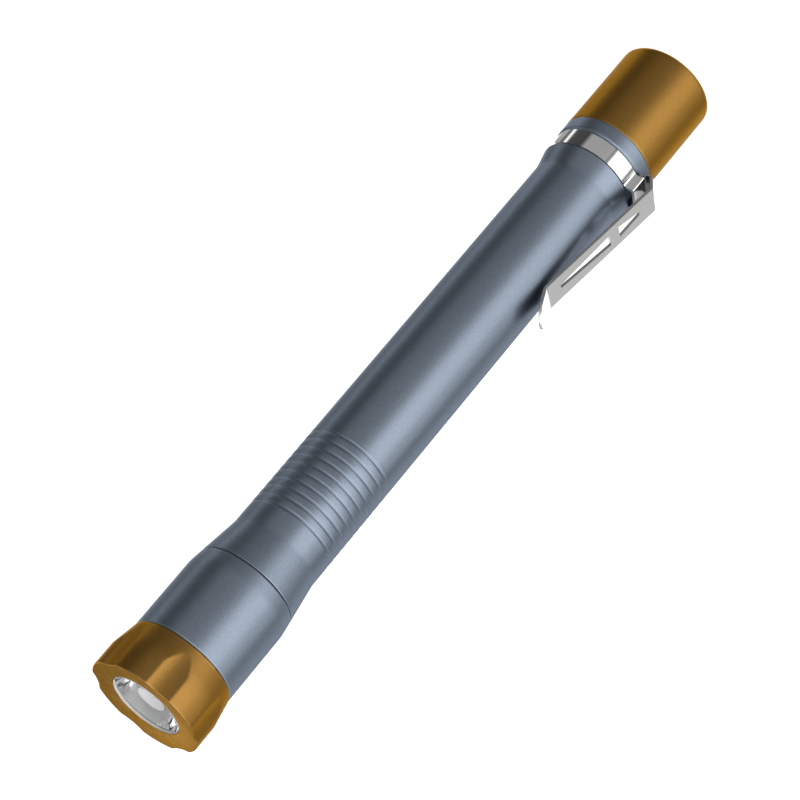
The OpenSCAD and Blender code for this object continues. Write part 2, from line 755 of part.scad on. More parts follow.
// Rubber button: rounded cup with a flange under the tail cap's end wall
module button_boot() {
  color([0.08, 0.08, 0.09]) rotate_extrude() {
    difference() {
      union() {
        translate([0, button_recess + button_edge_radius])
          square([button_r, cap_floor + button_flange - button_recess - button_edge_radius]);
        translate([0, button_recess]) square([button_r - button_edge_radius, button_flange]);
        intersection() {
          translate([button_r - button_edge_radius, button_recess + button_edge_radius])
            circle(r = button_edge_radius);
          square([button_r, cap_floor]);
        }
      }
      translate([0, button_recess + button_wall])
        square([button_r - button_wall, cap_floor + button_flange]);
    }
    translate([button_r - button_wall, cap_floor])
      square([stack_r - button_r + button_wall, button_flange]);
  }
}

// Spacer sleeve that presses the rubber button's flange against the end wall
module switch_spacer() {
  color([0.15, 0.15, 0.16]) tube(stack_r, stack_r - spacer_wall, spacer_z, spacer_length);
}

// Switch housing: closed drum with a guide hole for the plunger
module switch_housing() {
  hollow_r = housing_hollow_diameter / 2;
  guide_r = plunger_diameter / 2 + plunger_clearance;
  color([0.12, 0.12, 0.13]) difference() {
    translate([0, 0, housing_z]) cylinder(d = housing_diameter, h = housing_length);
    translate([0, 0, housing_z + housing_wall])
      cylinder(r = hollow_r, h = housing_length - 2 * housing_wall);
    translate([0, 0, housing_z - cut_over]) cylinder(r = guide_r, h = housing_wall + 2 * cut_over);
  }
}

// Plunger: head under the rubber, stem through the guide, collar on the spring
module switch_plunger() {
  head_z = button_recess + button_wall + plunger_gap;
  collar_floor_z = housing_z + housing_wall;
  color([0.85, 0.85, 0.82]) union() {
    translate([0, 0, head_z]) cylinder(d = plunger_head_diameter, h = plunger_head_height);
    translate([0, 0, head_z])
      cylinder(d = plunger_diameter, h = collar_floor_z + plunger_collar_height - head_z);
    translate([0, 0, collar_floor_z]) cylinder(d = plunger_collar_diameter, h = plunger_collar_height);
  }
}

// Return spring between the plunger's collar and the housing's floor
module switch_spring() {
  spring_z = housing_z + housing_wall + plunger_collar_height;
  color([0.8, 0.8, 0.8]) translate([0, 0, spring_z])
    coil_spring(switch_spring_diameter, switch_spring_diameter,
      switch_board_z - housing_wall - spring_z, switch_spring_turns, switch_spring_wire);
}

// Round board that carries the switch and the battery spring
module switch_board() {
  color([0.1, 0.35, 0.2]) translate([0, 0, switch_board_z])
    cylinder(r = stack_r, h = switch_board_thickness);
}

// Threaded ring with two spanner slots
module switch_ring() {
  slot_z = switch_ring_z + switch_ring_height - spanner_slot_depth;
  color([0.75, 0.62, 0.3]) difference() {
    tube(stack_r, stack_r - switch_ring_wall, switch_ring_z, switch_ring_height);
    translate([-stack_r - cut_over, -spanner_slot_width / 2, slot_z])
      cube([2 * (stack_r + cut_over), spanner_slot_width, spanner_slot_depth + cut_over]);
  }
}

// Rubber rings of the two screwed seams
module tail_o_ring() {
  color([0.07, 0.07, 0.07])
    round_ring(cap_bore_r - ring_clearance - tail_ring_section / 2, tail_ring_z(), tail_ring_section);
}
module head_o_ring() {
  color([0.07, 0.07, 0.07])
    round_ring(head_socket_r - ring_clearance - head_ring_section / 2, head_ring_z(), head_ring_section);
}

// Rubber ring between the bezel's lip and the optic's flange
module lens_seal() {
  seal_r = head_bore_r - optic_side_gap - lens_seal_section / 2;
  color([0.07, 0.07, 0.07]) round_ring(seal_r, lip_z - lens_seal_section / 2, lens_seal_section);
}

// Curved side of the optic's cone at share s of its height
function cone_point(s, widen) =
  [
    optic_rear_radius + (optic_cone_radius - optic_rear_radius) * s + widen,
    led_board_top_z + optic_rear_gap + (holder_top_z - led_board_top_z - optic_rear_gap) * s * s
  ];

// Optic: clear solid with a flat face, a flange, a curved cone and a hollow over the light
module optic() {
  rear_z = led_board_top_z + optic_rear_gap;
  hollow_z = rear_z + optic_hollow_depth;
  face_r = opening_r - optic_clearance;
  flange_r = head_bore_r - optic_side_gap;
  color([0.85, 0.88, 0.9, 0.5]) rotate_extrude() polygon(concat(
    [
      [0, hollow_z - optic_hollow_bulge],
      [optic_hollow_radius, hollow_z],
      [optic_hollow_radius, rear_z]
    ],
    [for (i = [0 : arc_steps]) cone_point(i / arc_steps, 0)],
    [
      [flange_r, holder_top_z],
      [flange_r, flange_top_z],
      [face_r, flange_top_z],
      [face_r, front_z - optic_recess],
      [0, front_z - optic_recess]
    ]
  ));
}

// Holder: cup round the optic's cone, standing on the led board
module optic_holder() {
  holder_r = head_bore_r - optic_side_gap;
  floor_hole_r = cone_point(0, holder_gap)[0];
  color([0.9, 0.9, 0.9]) rotate_extrude() polygon(concat(
    [[holder_r, holder_top_z], [holder_r, led_board_top_z], [floor_hole_r, led_board_top_z]],
    [for (i = [0 : arc_steps]) cone_point(i / arc_steps, holder_gap)]
  ));
}

// Light source: square base with a light-giving square on it
module led_package() {
  color([0.93, 0.92, 0.86]) union() {
    translate([-led_side / 2, -led_side / 2, led_board_top_z])
      cube([led_side, led_side, led_base_height]);
    translate([-led_chip_side / 2, -led_chip_side / 2, led_board_top_z])
      cube([led_chip_side, led_chip_side, led_base_height + led_chip_height]);
  }
}

// Clear dome over the light source
module led_dome() {
  dome_z = led_board_top_z + led_base_height;
  color([0.9, 0.9, 0.75, 0.5]) difference() {
    translate([0, 0, dome_z]) sphere(d = led_dome_diameter);
    translate([-led_dome_diameter, -led_dome_diameter, dome_z - led_dome_diameter])
      cube([2 * led_dome_diameter, 2 * led_dome_diameter, led_dome_diameter]);
    translate([-led_chip_side / 2, -led_chip_side / 2, dome_z - cut_over])
      cube([led_chip_side, led_chip_side, led_chip_height + cut_over]);
  }
}

// Metal-core board under the light source
module led_board() {
  color([0.85, 0.85, 0.85]) translate([0, 0, pill_top_z])
    cylinder(d = led_board_diameter, h = led_board_thickness);
}

// Two leads through the heat sink
module led_wires() {
  for (side = [-1, 1])
    color(side > 0 ? [0.75, 0.1, 0.1] : [0.1, 0.1, 0.1])
      translate([0, side * lead_offset, driver_top_z])
        cylinder(d = lead_diameter, h = pill_top_z - driver_top_z);
}

// Heat sink: hollow drum with a thick top and two lead holes
module led_pill() {
  neck_r = bore_r - pill_clearance;
  hollow_r = neck_r - pill_neck_wall;
  color([0.8, 0.8, 0.82]) difference() {
    rotate_extrude() polygon([
      [hollow_r, driver_top_z],
      [neck_r, driver_top_z],
      [neck_r, head_step_z],
      [head_bore_r - pill_clearance, head_step_z],
      [head_bore_r - pill_clearance, pill_top_z],
      [0, pill_top_z],
      [0, pill_top_z - pill_top],
      [hollow_r, pill_top_z - pill_top]
    ]);
    for (side = [-1, 1])
      translate([0, side * lead_offset, pill_top_z - pill_top - cut_over])
        cylinder(d = lead_hole_diameter, h = pill_top + 2 * cut_over);
  }
}

// Driver: round board, chip and coil, and the ring that holds them in
module driver_board() {
  color([0.1, 0.35, 0.2]) translate([0, 0, driver_board_z])
    cylinder(r = bore_r - pill_clearance, h = driver_board_thickness);
}
module driver_chip() {
  color([0.1, 0.1, 0.1])
    translate([-driver_part_offset - driver_chip_side / 2, -driver_chip_side / 2, driver_top_z])
      cube([driver_chip_side, driver_chip_side, driver_chip_height]);
}
module boost_coil() {
  color([0.2, 0.2, 0.22]) translate([driver_part_offset, 0, driver_top_z])
    cylinder(d = boost_coil_diameter, h = boost_coil_height);
}
module driver_ring() {
  ring_r = bore_r - pill_clearance;
  color([0.75, 0.62, 0.3])
    tube(ring_r, ring_r - driver_ring_wall, head_stub_z, driver_ring_height);
}

echo(battery_spring_gap = coil_gap(battery_spring_turns,
  (battery_spring_diameter - battery_spring_wire) / 2,
  (battery_spring_tip_diameter - battery_spring_wire) / 2,
  battery_spring_length - battery_spring_wire, battery_spring_wire));
echo(contact_spring_gap = coil_gap(contact_spring_turns,
  (contact_spring_tip_diameter - contact_spring_wire) / 2,
  (contact_spring_diameter - contact_spring_wire) / 2,
  contact_spring_length - contact_spring_wire, contact_spring_wire));

barrel();
head();
bezel();
tail_cap();
clip_band();
clip_tongue();
front_cell();
rear_cell();
front_cell_sleeve();
rear_cell_sleeve();
battery_spring();
contact_spring();
button_boot();
switch_spacer();
switch_housing();
switch_plunger();
switch_spring();
switch_board();
switch_ring();
tail_o_ring();
head_o_ring();
lens_seal();
optic();
optic_holder();
led_package();
led_dome();
led_board();
led_wires();
led_pill();
driver_board();
driver_chip();
boost_coil();
driver_ring();
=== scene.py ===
import math

import bmesh
import bpy
from mathutils import Matrix, Vector


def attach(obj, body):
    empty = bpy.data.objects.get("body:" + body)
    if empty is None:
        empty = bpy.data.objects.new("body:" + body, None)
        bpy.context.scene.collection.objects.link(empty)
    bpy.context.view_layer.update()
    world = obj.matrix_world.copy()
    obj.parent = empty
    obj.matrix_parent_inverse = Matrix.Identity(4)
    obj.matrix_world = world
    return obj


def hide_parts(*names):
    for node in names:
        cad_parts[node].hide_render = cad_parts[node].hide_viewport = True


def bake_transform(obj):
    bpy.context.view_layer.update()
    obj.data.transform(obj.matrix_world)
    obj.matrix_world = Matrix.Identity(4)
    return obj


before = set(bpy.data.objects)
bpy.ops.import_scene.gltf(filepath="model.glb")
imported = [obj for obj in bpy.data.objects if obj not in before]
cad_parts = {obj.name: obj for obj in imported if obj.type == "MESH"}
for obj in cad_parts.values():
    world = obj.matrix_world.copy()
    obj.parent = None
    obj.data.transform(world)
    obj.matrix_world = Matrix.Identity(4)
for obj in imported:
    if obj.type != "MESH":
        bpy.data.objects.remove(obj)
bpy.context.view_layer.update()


# Camera
# The light is seen from in front of its lens and a little to the clip's side,
# rolled so that the body runs up across the picture.
MM = 0.001

SENSOR_WIDE, LENS_LONG = 36, 125.344
CAMERA_PLACE = (195.693, 317.8458, 253.2426)
CAMERA_TURN = (-57.81520334, 35.38130328, -11.63669086)
NEAREST, FARTHEST = 10, 20000

camera_data = bpy.data.cameras.new("camera")
camera_data.sensor_width = SENSOR_WIDE
camera_data.lens = LENS_LONG
camera_data.clip_start = NEAREST * MM
camera_data.clip_end = FARTHEST * MM
camera = bpy.data.objects.new("camera", camera_data)
camera.location = [place * MM for place in CAMERA_PLACE]
camera.rotation_euler = [math.radians(turn) for turn in CAMERA_TURN]
bpy.context.scene.collection.objects.link(camera)
bpy.context.scene.camera = camera
bpy.context.scene.view_settings.view_transform = "Standard"


# Studio
# A white room with tall soft strips standing round the light, as a product table has them.
# The strips are set by the compass angle from the camera's side, so the polished parts show them.
CAMERA_SIDE = 58.38


def put(tree, kind, inputs=None, **settings):
    """Adds a shader node, with its settings and its input values or links."""
    node = tree.nodes.new("ShaderNode" + kind)
    for name, value in settings.items():
        setattr(node, name, value)
    for name, value in (inputs or {}).items():
        if isinstance(value, bpy.types.NodeSocket):
            tree.links.new(value, node.inputs[name])
        else:
            node.inputs[name].default_value = value
    return node


def ramp(tree, factor, stops):
    """Adds a colour ramp through the stops, each a place and a grey or a colour."""
    node = put(tree, "ValToRGB", {"Fac": factor})
    band = node.color_ramp
    band.interpolation = "LINEAR"
    while len(band.elements) < len(stops):
        band.elements.new(1)
    for element, (place, tone) in zip(band.elements, stops):
        element.position = place
        element.color = (tone, tone, tone, 1) if isinstance(tone, (int, float)) else (*tone, 1)
    return node.outputs["Color"]


# Each strip is a compass angle and its brightness: at the light's height, below it and above it.
STRIPS = (
    (-180, 0.26), (-176, 1.5), (-156, 1.5), (-150, 0.66), (-144, 0.34), (-130, 0.42), (-122, 0.14),
    (-118, 0.07), (-113, 0.08), (-109, 1.45), (-105, 1.30), (-100, 0.14), (-95, 0.07), (-64, 0.05),
    (-55, 0.42), (-38, 0.42), (3, 0.41), (6, 0.22), (10, 0.22), (14, 1.8), (60, 1.75), (65, 0.24),
    (69, 0.24), (73, 1.4), (80, 1.5), (85, 0.20), (94, 0.12), (102, 0.22), (112, 0.62), (140, 0.88),
    (152, 0.80), (170, 0.20))
LOW_STRIPS = (
    (-180, 1.6), (-125, 1.6), (-100, 0.12), (-60, 0.15), (-10, 0.3), (30, 1.2), (60, 0.8), (75, 0.3),
    (100, 0.3), (118, 0.7), (135, 1.5), (177, 1.9))
HIGH_STRIPS = (
    (-180, 0.8), (-125, 0.8), (-98, 0.12), (-60, 0.3), (-15, 1.6), (60, 2.0), (104, 1.8), (140, 0.7),
    (174, 0.3))
STUDIO_STRENGTH = 2.0


def strip_ramp(tree, turn, strips):
    """Adds the ramp that gives the strips' brightness, as a share of the studio's strength."""
    return ramp(tree, turn, [((angle + 180) / 360, tone / STUDIO_STRENGTH) for angle, tone in strips])


world = bpy.data.worlds.new("studio")
bpy.context.scene.world = world
world.use_nodes = True
sky = world.node_tree
sky.nodes.clear()
direction = put(sky, "TexCoord").outputs["Generated"]
turned_sky = put(sky, "Mapping", {"Vector": direction, "Rotation": (0, 0, -math.radians(CAMERA_SIDE))})
parts = put(sky, "SeparateXYZ", {"Vector": turned_sky.outputs["Vector"]})
across = put(sky, "Math", {0: parts.outputs["Y"], 1: -1.0}, operation="MULTIPLY")
compass = put(sky, "Math", {0: across.outputs[0], 1: parts.outputs["X"]}, operation="ARCTAN2")
share = put(sky, "MapRange", {
    "Value": compass.outputs[0], "From Min": -math.pi, "From Max": math.pi, "To Min": 0.0, "To Max": 1.0})
strip_tone = strip_ramp(sky, share.outputs["Result"], STRIPS)
low_tone = strip_ramp(sky, share.outputs["Result"], LOW_STRIPS)
high_tone = strip_ramp(sky, share.outputs["Result"], HIGH_STRIPS)
height = put(sky, "MapRange", {
    "Value": parts.outputs["Z"], "From Min": -1.0, "From Max": 1.0, "To Min": 0.0, "To Max": 1.0})
low_share = ramp(sky, height.outputs["Result"], ((0.205, 1.0), (0.235, 0.0)))
high_share = ramp(sky, height.outputs["Result"], ((0.72, 0.0), (0.90, 1.0)))
below = put(sky, "MixRGB", {"Fac": low_share, "Color1": strip_tone, "Color2": low_tone})
room = put(sky, "MixRGB", {"Fac": high_share, "Color1": below.outputs["Color"], "Color2": high_tone})
studio_light = put(sky, "Background", {"Color": room.outputs["Color"], "Strength": STUDIO_STRENGTH})
plain_white = put(sky, "Background", {"Color": (1, 1, 1, 1), "Strength": 1.0})
seen = put(sky, "MixShader", {
    0: put(sky, "LightPath").outputs["Is Camera Ray"],
    1: studio_light.outputs[0], 2: plain_white.outputs[0]})
sky.links.new(seen.outputs[0], put(sky, "OutputWorld").inputs["Surface"])


# Floor
# A plain white table under the tail. It glows a little, so it stays white to its far edge
# and takes only a faint shadow.
FLOOR_HALF = 3.0


def new_material(name, **sockets):
    """A material with a Principled shader, and the values given for that shader's own sockets."""
    material = bpy.data.materials.new(name)
    material.use_nodes = True
    tree = material.node_tree
    tree.nodes.clear()
    shader = put(tree, "BsdfPrincipled", {k.replace("_", " "): v for k, v in sockets.items()})
    tree.links.new(shader.outputs[0], put(tree, "OutputMaterial").inputs["Surface"])
    return material, tree, shader


floor_mesh = bpy.data.meshes.new("floor")
bm = bmesh.new()
bmesh.ops.create_grid(bm, x_segments=1, y_segments=1, size=FLOOR_HALF)
bm.to_mesh(floor_mesh)
bm.free()
floor = bpy.data.objects.new("floor", floor_mesh)
floor.visible_glossy = False
floor.visible_shadow = False
floor_finish, tree, shader = new_material(
    "white_table", Base_Color=(0.5, 0.5, 0.5, 1), Roughness=1.0, Emission_Strength=0.93)
shader.inputs["Specular IOR Level"].default_value = 0.0
cloth = put(tree, "TexNoise", {
    "Vector": put(tree, "TexCoord").outputs["Object"], "Scale": 3.0, "Detail": 2.0})
tree.links.new(ramp(tree, cloth.outputs["Fac"], ((0, 0.985), (1, 1.0))), shader.inputs["Emission Color"])
floor_mesh.materials.append(floor_finish)
bpy.context.scene.collection.objects.link(floor)


# Barrel
# Turned aluminium tube with a collar, a groove for the clip, ten grip grooves and a flared
# neck. It is bead-blasted and anodised blue-grey, and screws into the tail cap at its rear.
BODY_STEPS = 128
BORE_R, BARREL_R, STUB_R, STUB_CORE_R = 5.40, 7.25, 6.70, 6.35
COLLAR_R, CLIP_SEAT_R, FLARE_R, SEAM_R = 8.05, 7.45, 7.95, 8.159
GRIP_WIDTH, GRIP_DEPTH, GRIP_PITCH, GRIP_FIRST, GRIP_COUNT = 0.55, 0.14, 1.6, 86.85, 10
STUB_Z, SEAL_SEAT_R, SEAL_LOW, SEAL_HIGH = 10.2, 5.88, 15.65, 16.55
COLLAR_LOW, COLLAR_HIGH, COLLAR_FOOT_R, CLIP_LOW, CLIP_HIGH = 17.4, 19.72, 7.52, 20.2, 23.54
FLARE_END, NECK_LOW, NECK_HIGH, SEAM_Z, SOCKET_Z, SOCKET_R = 26.89, 105.2, 111.63, 111.8, 105.4, 6.6
SEAM_INNER_R, SEAM_LAND_R, SEAM_HALF_GAP, SEAM_STEP = 7.6, 7.95, 0.02, 0.06
THREAD_PITCH, THREAD_DEPTH, THREAD_END, CHAMFER, TURN_STEPS = 0.8, 0.35, 0.15, 0.14, 64
THREAD_FOOT, THREAD_CREST, THREAD_SUNK = THREAD_PITCH * 0.42, THREAD_PITCH * 0.08, 0.1
# The rounding of a corner: its radius and its steps.
BREAK, COLLAR_ROUND, COLLAR_EDGE, FLARE_EDGE, BEND = (0.06, 2), (0.12, 3), (0.08, 3), (0.10, 3), (0.3, 3)
BARREL_CUTS = (17.7, 19.45, 23.8, 26.4, 27.4, 86.4, 101.7, 104.7, 105.7, 111.4)
MERGE = 0.0005 * MM


def turned(profile):
    """Turns an outline about the light's axis. Each point is a radius and a height in millimetres,
    with the radius and the steps of its rounding where it has one."""
    bm = bmesh.new()
    points = [bm.verts.new((p[0] * MM, 0, p[1] * MM)) for p in profile]
    closed = profile[0][0] > 0 or profile[-1][0] > 0
    for a, b in zip(points, points[1:] + points[:1] if closed else points[1:]):
        bm.edges.new((a, b))
    for point, p in zip(points, profile):
        if len(p) > 2:
            bmesh.ops.bevel(bm, geom=[point], offset=p[2] * MM, offset_type="OFFSET", segments=p[3],
                            profile=0.5, affect="VERTICES", material=-1)
    bmesh.ops.spin(bm, geom=bm.verts[:] + bm.edges[:], cent=(0, 0, 0), axis=(0, 0, 1),
                   angle=2 * math.pi, steps=BODY_STEPS, use_merge=True, use_duplicate=False)
    bmesh.ops.remove_doubles(bm, verts=bm.verts, dist=MERGE)
    return bm


def ring_cuts(bm, heights):
    """Adds rings of points at these heights, so that the rubbing of an edge stays beside it."""
    for z in heights:
        bmesh.ops.bisect_plane(bm, geom=bm.verts[:] + bm.edges[:] + bm.faces[:], dist=MERGE,
                               plane_co=(0, 0, z * MM), plane_no=(0, 0, 1))


def thread_ridge(bm, radius, start, turns):
    """Adds the ridge of a cut thread: a blunt tooth wound round the light's axis."""
    sunk = radius - THREAD_DEPTH - THREAD_SUNK
    outline = ((sunk, -THREAD_FOOT), (radius, -THREAD_CREST), (radius, THREAD_CREST), (sunk, THREAD_FOOT))
    ring = [bm.verts.new((r * MM, 0, (start + z) * MM)) for r, z in outline]
    first = bm.faces.new(ring)
    swept = bmesh.ops.spin(
        bm, geom=[first], cent=(0, 0, 0), axis=(0, 0, 1), angle=2 * math.pi * turns,
        dvec=(0, 0, THREAD_PITCH * MM / TURN_STEPS), steps=TURN_STEPS * turns,
        use_merge=False, use_duplicate=False)
    if not any(isinstance(f, bmesh.types.BMFace) for f in swept["geom_last"]):
        bm.faces.new([v for v in swept["geom_last"] if isinstance(v, bmesh.types.BMVert)])


SHARP, RUB_FROM, RUB_FULL = math.radians(38), math.radians(12), math.radians(42)


def finish_piece(bm, name, material):
    """Turns the faces outwards, notes how far each convex edge stands out, and makes the piece."""
    bmesh.ops.recalc_face_normals(bm, faces=bm.faces)
    rub = bm.verts.layers.float.new("rub")
    for vert in bm.verts:
        turn = max((e.calc_face_angle_signed(0.0) for e in vert.link_edges), default=0.0)
        vert[rub] = min(1.0, max(0.0, (turn - RUB_FROM) / (RUB_FULL - RUB_FROM)))
    mesh = bpy.data.meshes.new(name)
    bm.to_mesh(mesh)
    bm.free()
    mesh.polygons.foreach_set("use_smooth", [True] * len(mesh.polygons))
    mesh.set_sharp_from_angle(angle=SHARP)
    mesh.materials.append(material)
    piece = bpy.data.objects.new(name, mesh)
    bpy.context.scene.collection.objects.link(piece)
    shade = piece.modifiers.new("even_shading", "WEIGHTED_NORMAL")
    shade.keep_sharp = True
    return piece


def new_group(name, inputs, outputs):
    """An empty shader group with its named inputs and outputs."""
    group = bpy.data.node_groups.new(name, "ShaderNodeTree")
    for socket, kind in inputs:
        group.interface.new_socket(socket, in_out="INPUT", socket_type="NodeSocket" + kind)
    for socket, kind in outputs:
        group.interface.new_socket(socket, in_out="OUTPUT", socket_type="NodeSocket" + kind)
    return group, group.nodes.new("NodeGroupInput").outputs, group.nodes.new("NodeGroupOutput").inputs


def use_group(tree, group, inputs):
    """Places a group in a material, with that material's own values."""
    node = tree.nodes.new("ShaderNodeGroup")
    node.node_tree = group
    for name, value in inputs.items():
        if isinstance(value, bpy.types.NodeSocket):
            tree.links.new(value, node.inputs[name])
        else:
            node.inputs[name].default_value = value
    return node.outputs


# Grain: the fine matt texture that blasting or moulding leaves, at two sizes.
grain, g_in, g_out = new_group(
    "grain", (("Place", "Vector"), ("Fineness", "Float")), (("Height", "Float"), ("Tone", "Float")))
fine = put(grain, "TexNoise", {
    "Vector": g_in["Place"], "Scale": g_in["Fineness"], "Detail": 2.0, "Roughness": 0.6})
coarse_size = put(grain, "Math", {0: g_in["Fineness"], 1: 0.55}, operation="MULTIPLY")
coarse = put(grain, "TexNoise", {"Vector": g_in["Place"], "Scale": coarse_size.outputs[0], "Detail": 1.0})
both = put(grain, "Math", {0: fine.outputs["Fac"], 1: coarse.outputs["Fac"]}, operation="ADD")
halved = put(grain, "Math", {0: both.outputs[0], 1: 0.5}, operation="MULTIPLY")
grain.links.new(halved.outputs[0], g_out["Height"])
grain.links.new(fine.outputs["Fac"], g_out["Tone"])

# Cloud: slow unevenness of a finish, from handling and from the dye bath.
cloud, g_in, g_out = new_group(
    "cloud", (("Place", "Vector"), ("Size", "Float"), ("Low", "Float"), ("High", "Float")),
    (("Value", "Float"),))
slow = put(cloud, "TexNoise", {
    "Vector": g_in["Place"], "Scale": g_in["Size"], "Detail": 3.0, "Distortion": 0.4})
spread = put(cloud, "MapRange", {
    "Value": slow.outputs["Fac"], "From Min": 0.3, "From Max": 0.7,
    "To Min": g_in["Low"], "To Max": g_in["High"]})
cloud.links.new(spread.outputs["Result"], g_out["Value"])

# Lathe lines: faint rings that turning leaves round the axis, broken up a little.
lathe, g_in, g_out = new_group(
    "lathe_lines", (("Place", "Vector"), ("Lines", "Float")), (("Height", "Float"),))
split = put(lathe, "SeparateXYZ", {"Vector": g_in["Place"]})
flat = put(lathe, "CombineXYZ", {"X": split.outputs["X"], "Y": split.outputs["Y"], "Z": 0.0})
reach = put(lathe, "VectorMath", {0: flat.outputs[0]}, operation="LENGTH")
ringed = put(lathe, "CombineXYZ", {"X": reach.outputs["Value"], "Y": 0.0, "Z": split.outputs["Z"]})
rings = put(lathe, "TexNoise", {"Vector": ringed.outputs[0], "Scale": g_in["Lines"], "Detail": 2.0})
lathe.links.new(rings.outputs["Fac"], g_out["Height"])

# Rubbed edge: where a corner stands out, broken by a fine noise.
rubbed, g_in, g_out = new_group(
    "rubbed_edge", (("Place", "Vector"), ("Amount", "Float")), (("Mask", "Float"),))
edge_value = put(rubbed, "Attribute", attribute_name="rub").outputs["Fac"]
patchy = put(rubbed, "TexNoise", {"Vector": g_in["Place"], "Scale": 900.0, "Detail": 4.0})
broken = put(rubbed, "MapRange", {"Value": patchy.outputs["Fac"], "From Min": 0.35, "From Max": 0.65})
edge_part = put(rubbed, "Math", {0: edge_value, 1: broken.outputs["Result"]}, operation="MULTIPLY")
edge_share = put(rubbed, "Math", {0: edge_part.outputs[0], 1: g_in["Amount"]}, operation="MULTIPLY")
rubbed.links.new(edge_share.outputs[0], g_out["Mask"])


def raised(tree, shader, height, strength, depth):
    """Lets a pattern's height stand out of the surface, by a depth in millimetres."""
    bump = put(tree, "Bump", {"Height": height, "Strength": strength, "Distance": depth * MM})
    tree.links.new(bump.outputs[0], shader.inputs["Normal"])


def uneven_gloss(tree, shader, place, size, low, high):
    """Lets the roughness drift slowly between two values."""
    drift = use_group(tree, cloud, {"Place": place, "Size": size, "Low": low, "High": high})
    tree.links.new(drift["Value"], shader.inputs["Roughness"])


def anodised(name, dye, worn, roughness, edge_tint, oxide=0.0):
    """Blasted and dyed aluminium. A thick oxide on it has a colourless sheen, seen face on."""
    material, tree, shader = new_material(
        name, Metallic=1.0, Roughness=roughness, Specular_Tint=(*edge_tint, 1), Coat_Roughness=0.34)
    if oxide > 0:
        slope = put(tree, "LayerWeight", {"Blend": 0.5}).outputs["Facing"]
        sheen = put(tree, "MapRange", {
            "Value": slope, "From Min": 0.12, "From Max": 0.50, "To Min": oxide, "To Max": 0.0})
        tree.links.new(sheen.outputs["Result"], shader.inputs["Coat Weight"])
    place = put(tree, "TexCoord").outputs["Object"]
    blasted = use_group(tree, grain, {"Place": place, "Fineness": 5200.0})
    uneven = use_group(tree, cloud, {"Place": place, "Size": 45.0, "Low": 0.985, "High": 1.015})
    edge = use_group(tree, rubbed, {"Place": place, "Amount": 0.35})
    speckle = put(tree, "MapRange", {
        "Value": blasted["Tone"], "From Min": 0.25, "From Max": 0.75, "To Min": 0.86, "To Max": 1.14})
    shade = put(tree, "Math", {0: speckle.outputs["Result"], 1: uneven["Value"]}, operation="MULTIPLY")
    dyed = put(tree, "VectorMath", {0: dye, "Scale": shade.outputs[0]}, operation="SCALE")
    coloured = put(tree, "MixRGB", {"Fac": edge["Mask"], "Color1": dyed.outputs[0], "Color2": (*worn, 1)})
    tree.links.new(coloured.outputs[0], shader.inputs["Base Color"])
    uneven_gloss(tree, shader, place, size=60.0, low=roughness - 0.008, high=roughness + 0.008)
    raised(tree, shader, blasted["Height"], strength=0.06, depth=0.02)
    return material


blue_grey = anodised(
    "blue_grey_anodised", dye=(0.265, 0.313, 0.383), worn=(0.5, 0.54, 0.6), roughness=0.40,
    edge_tint=(0.62, 0.66, 0.72))

grip_profile = []
groove_half = GRIP_WIDTH / 2
groove_r = (groove_half ** 2 + GRIP_DEPTH ** 2) / (2 * GRIP_DEPTH)
groove_angle = math.asin(groove_half / groove_r)
GROOVE_HALF_STEPS, GROOVE_EDGE = 4, (0.07, 2)
for i in range(GRIP_COUNT):
    for k in range(-GROOVE_HALF_STEPS, GROOVE_HALF_STEPS + 1):
        turn = groove_angle * k / GROOVE_HALF_STEPS
        corner = GROOVE_EDGE if abs(k) == GROOVE_HALF_STEPS else ()
        grip_profile.append((
            BARREL_R - GRIP_DEPTH + groove_r * (1 - math.cos(turn)),
            GRIP_FIRST + i * GRIP_PITCH + groove_r * math.sin(turn), *corner))
THREAD_LOW, THREAD_HIGH = 10.6, 14.7
barrel_mesh = turned([
    (BORE_R, STUB_Z), (STUB_R - CHAMFER, STUB_Z), (STUB_R, STUB_Z + CHAMFER), (STUB_R, THREAD_LOW),
    (STUB_CORE_R, THREAD_LOW + THREAD_END), (STUB_CORE_R, THREAD_HIGH - THREAD_END), (STUB_R, THREAD_HIGH),
    (STUB_R, SEAL_LOW, *BREAK), (SEAL_SEAT_R, SEAL_LOW), (SEAL_SEAT_R, SEAL_HIGH),
    (STUB_R, SEAL_HIGH, *BREAK), (STUB_R, COLLAR_LOW), (COLLAR_R, COLLAR_LOW, *COLLAR_ROUND),
    (COLLAR_R, COLLAR_HIGH, *COLLAR_EDGE), (COLLAR_FOOT_R, CLIP_LOW, *BREAK), (CLIP_SEAT_R, CLIP_LOW),
    (CLIP_SEAT_R, CLIP_HIGH), (FLARE_R, CLIP_HIGH, *FLARE_EDGE), (BARREL_R, FLARE_END, *BEND),
    *grip_profile,
    (BARREL_R, NECK_LOW, *BEND), (SEAM_R - SEAM_HALF_GAP, NECK_HIGH, *BREAK),
    (SEAM_LAND_R, SEAM_Z - SEAM_STEP), (SEAM_INNER_R, SEAM_Z - SEAM_STEP), (SEAM_INNER_R, SEAM_Z),
    (SOCKET_R, SEAM_Z), (SOCKET_R, SOCKET_Z), (BORE_R, SOCKET_Z)])
ring_cuts(barrel_mesh, BARREL_CUTS)
thread_ridge(barrel_mesh, STUB_R, start=11.2, turns=4)
barrel = finish_piece(barrel_mesh, "barrel_tube", blue_grey)
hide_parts("barrel")
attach(barrel, "light")


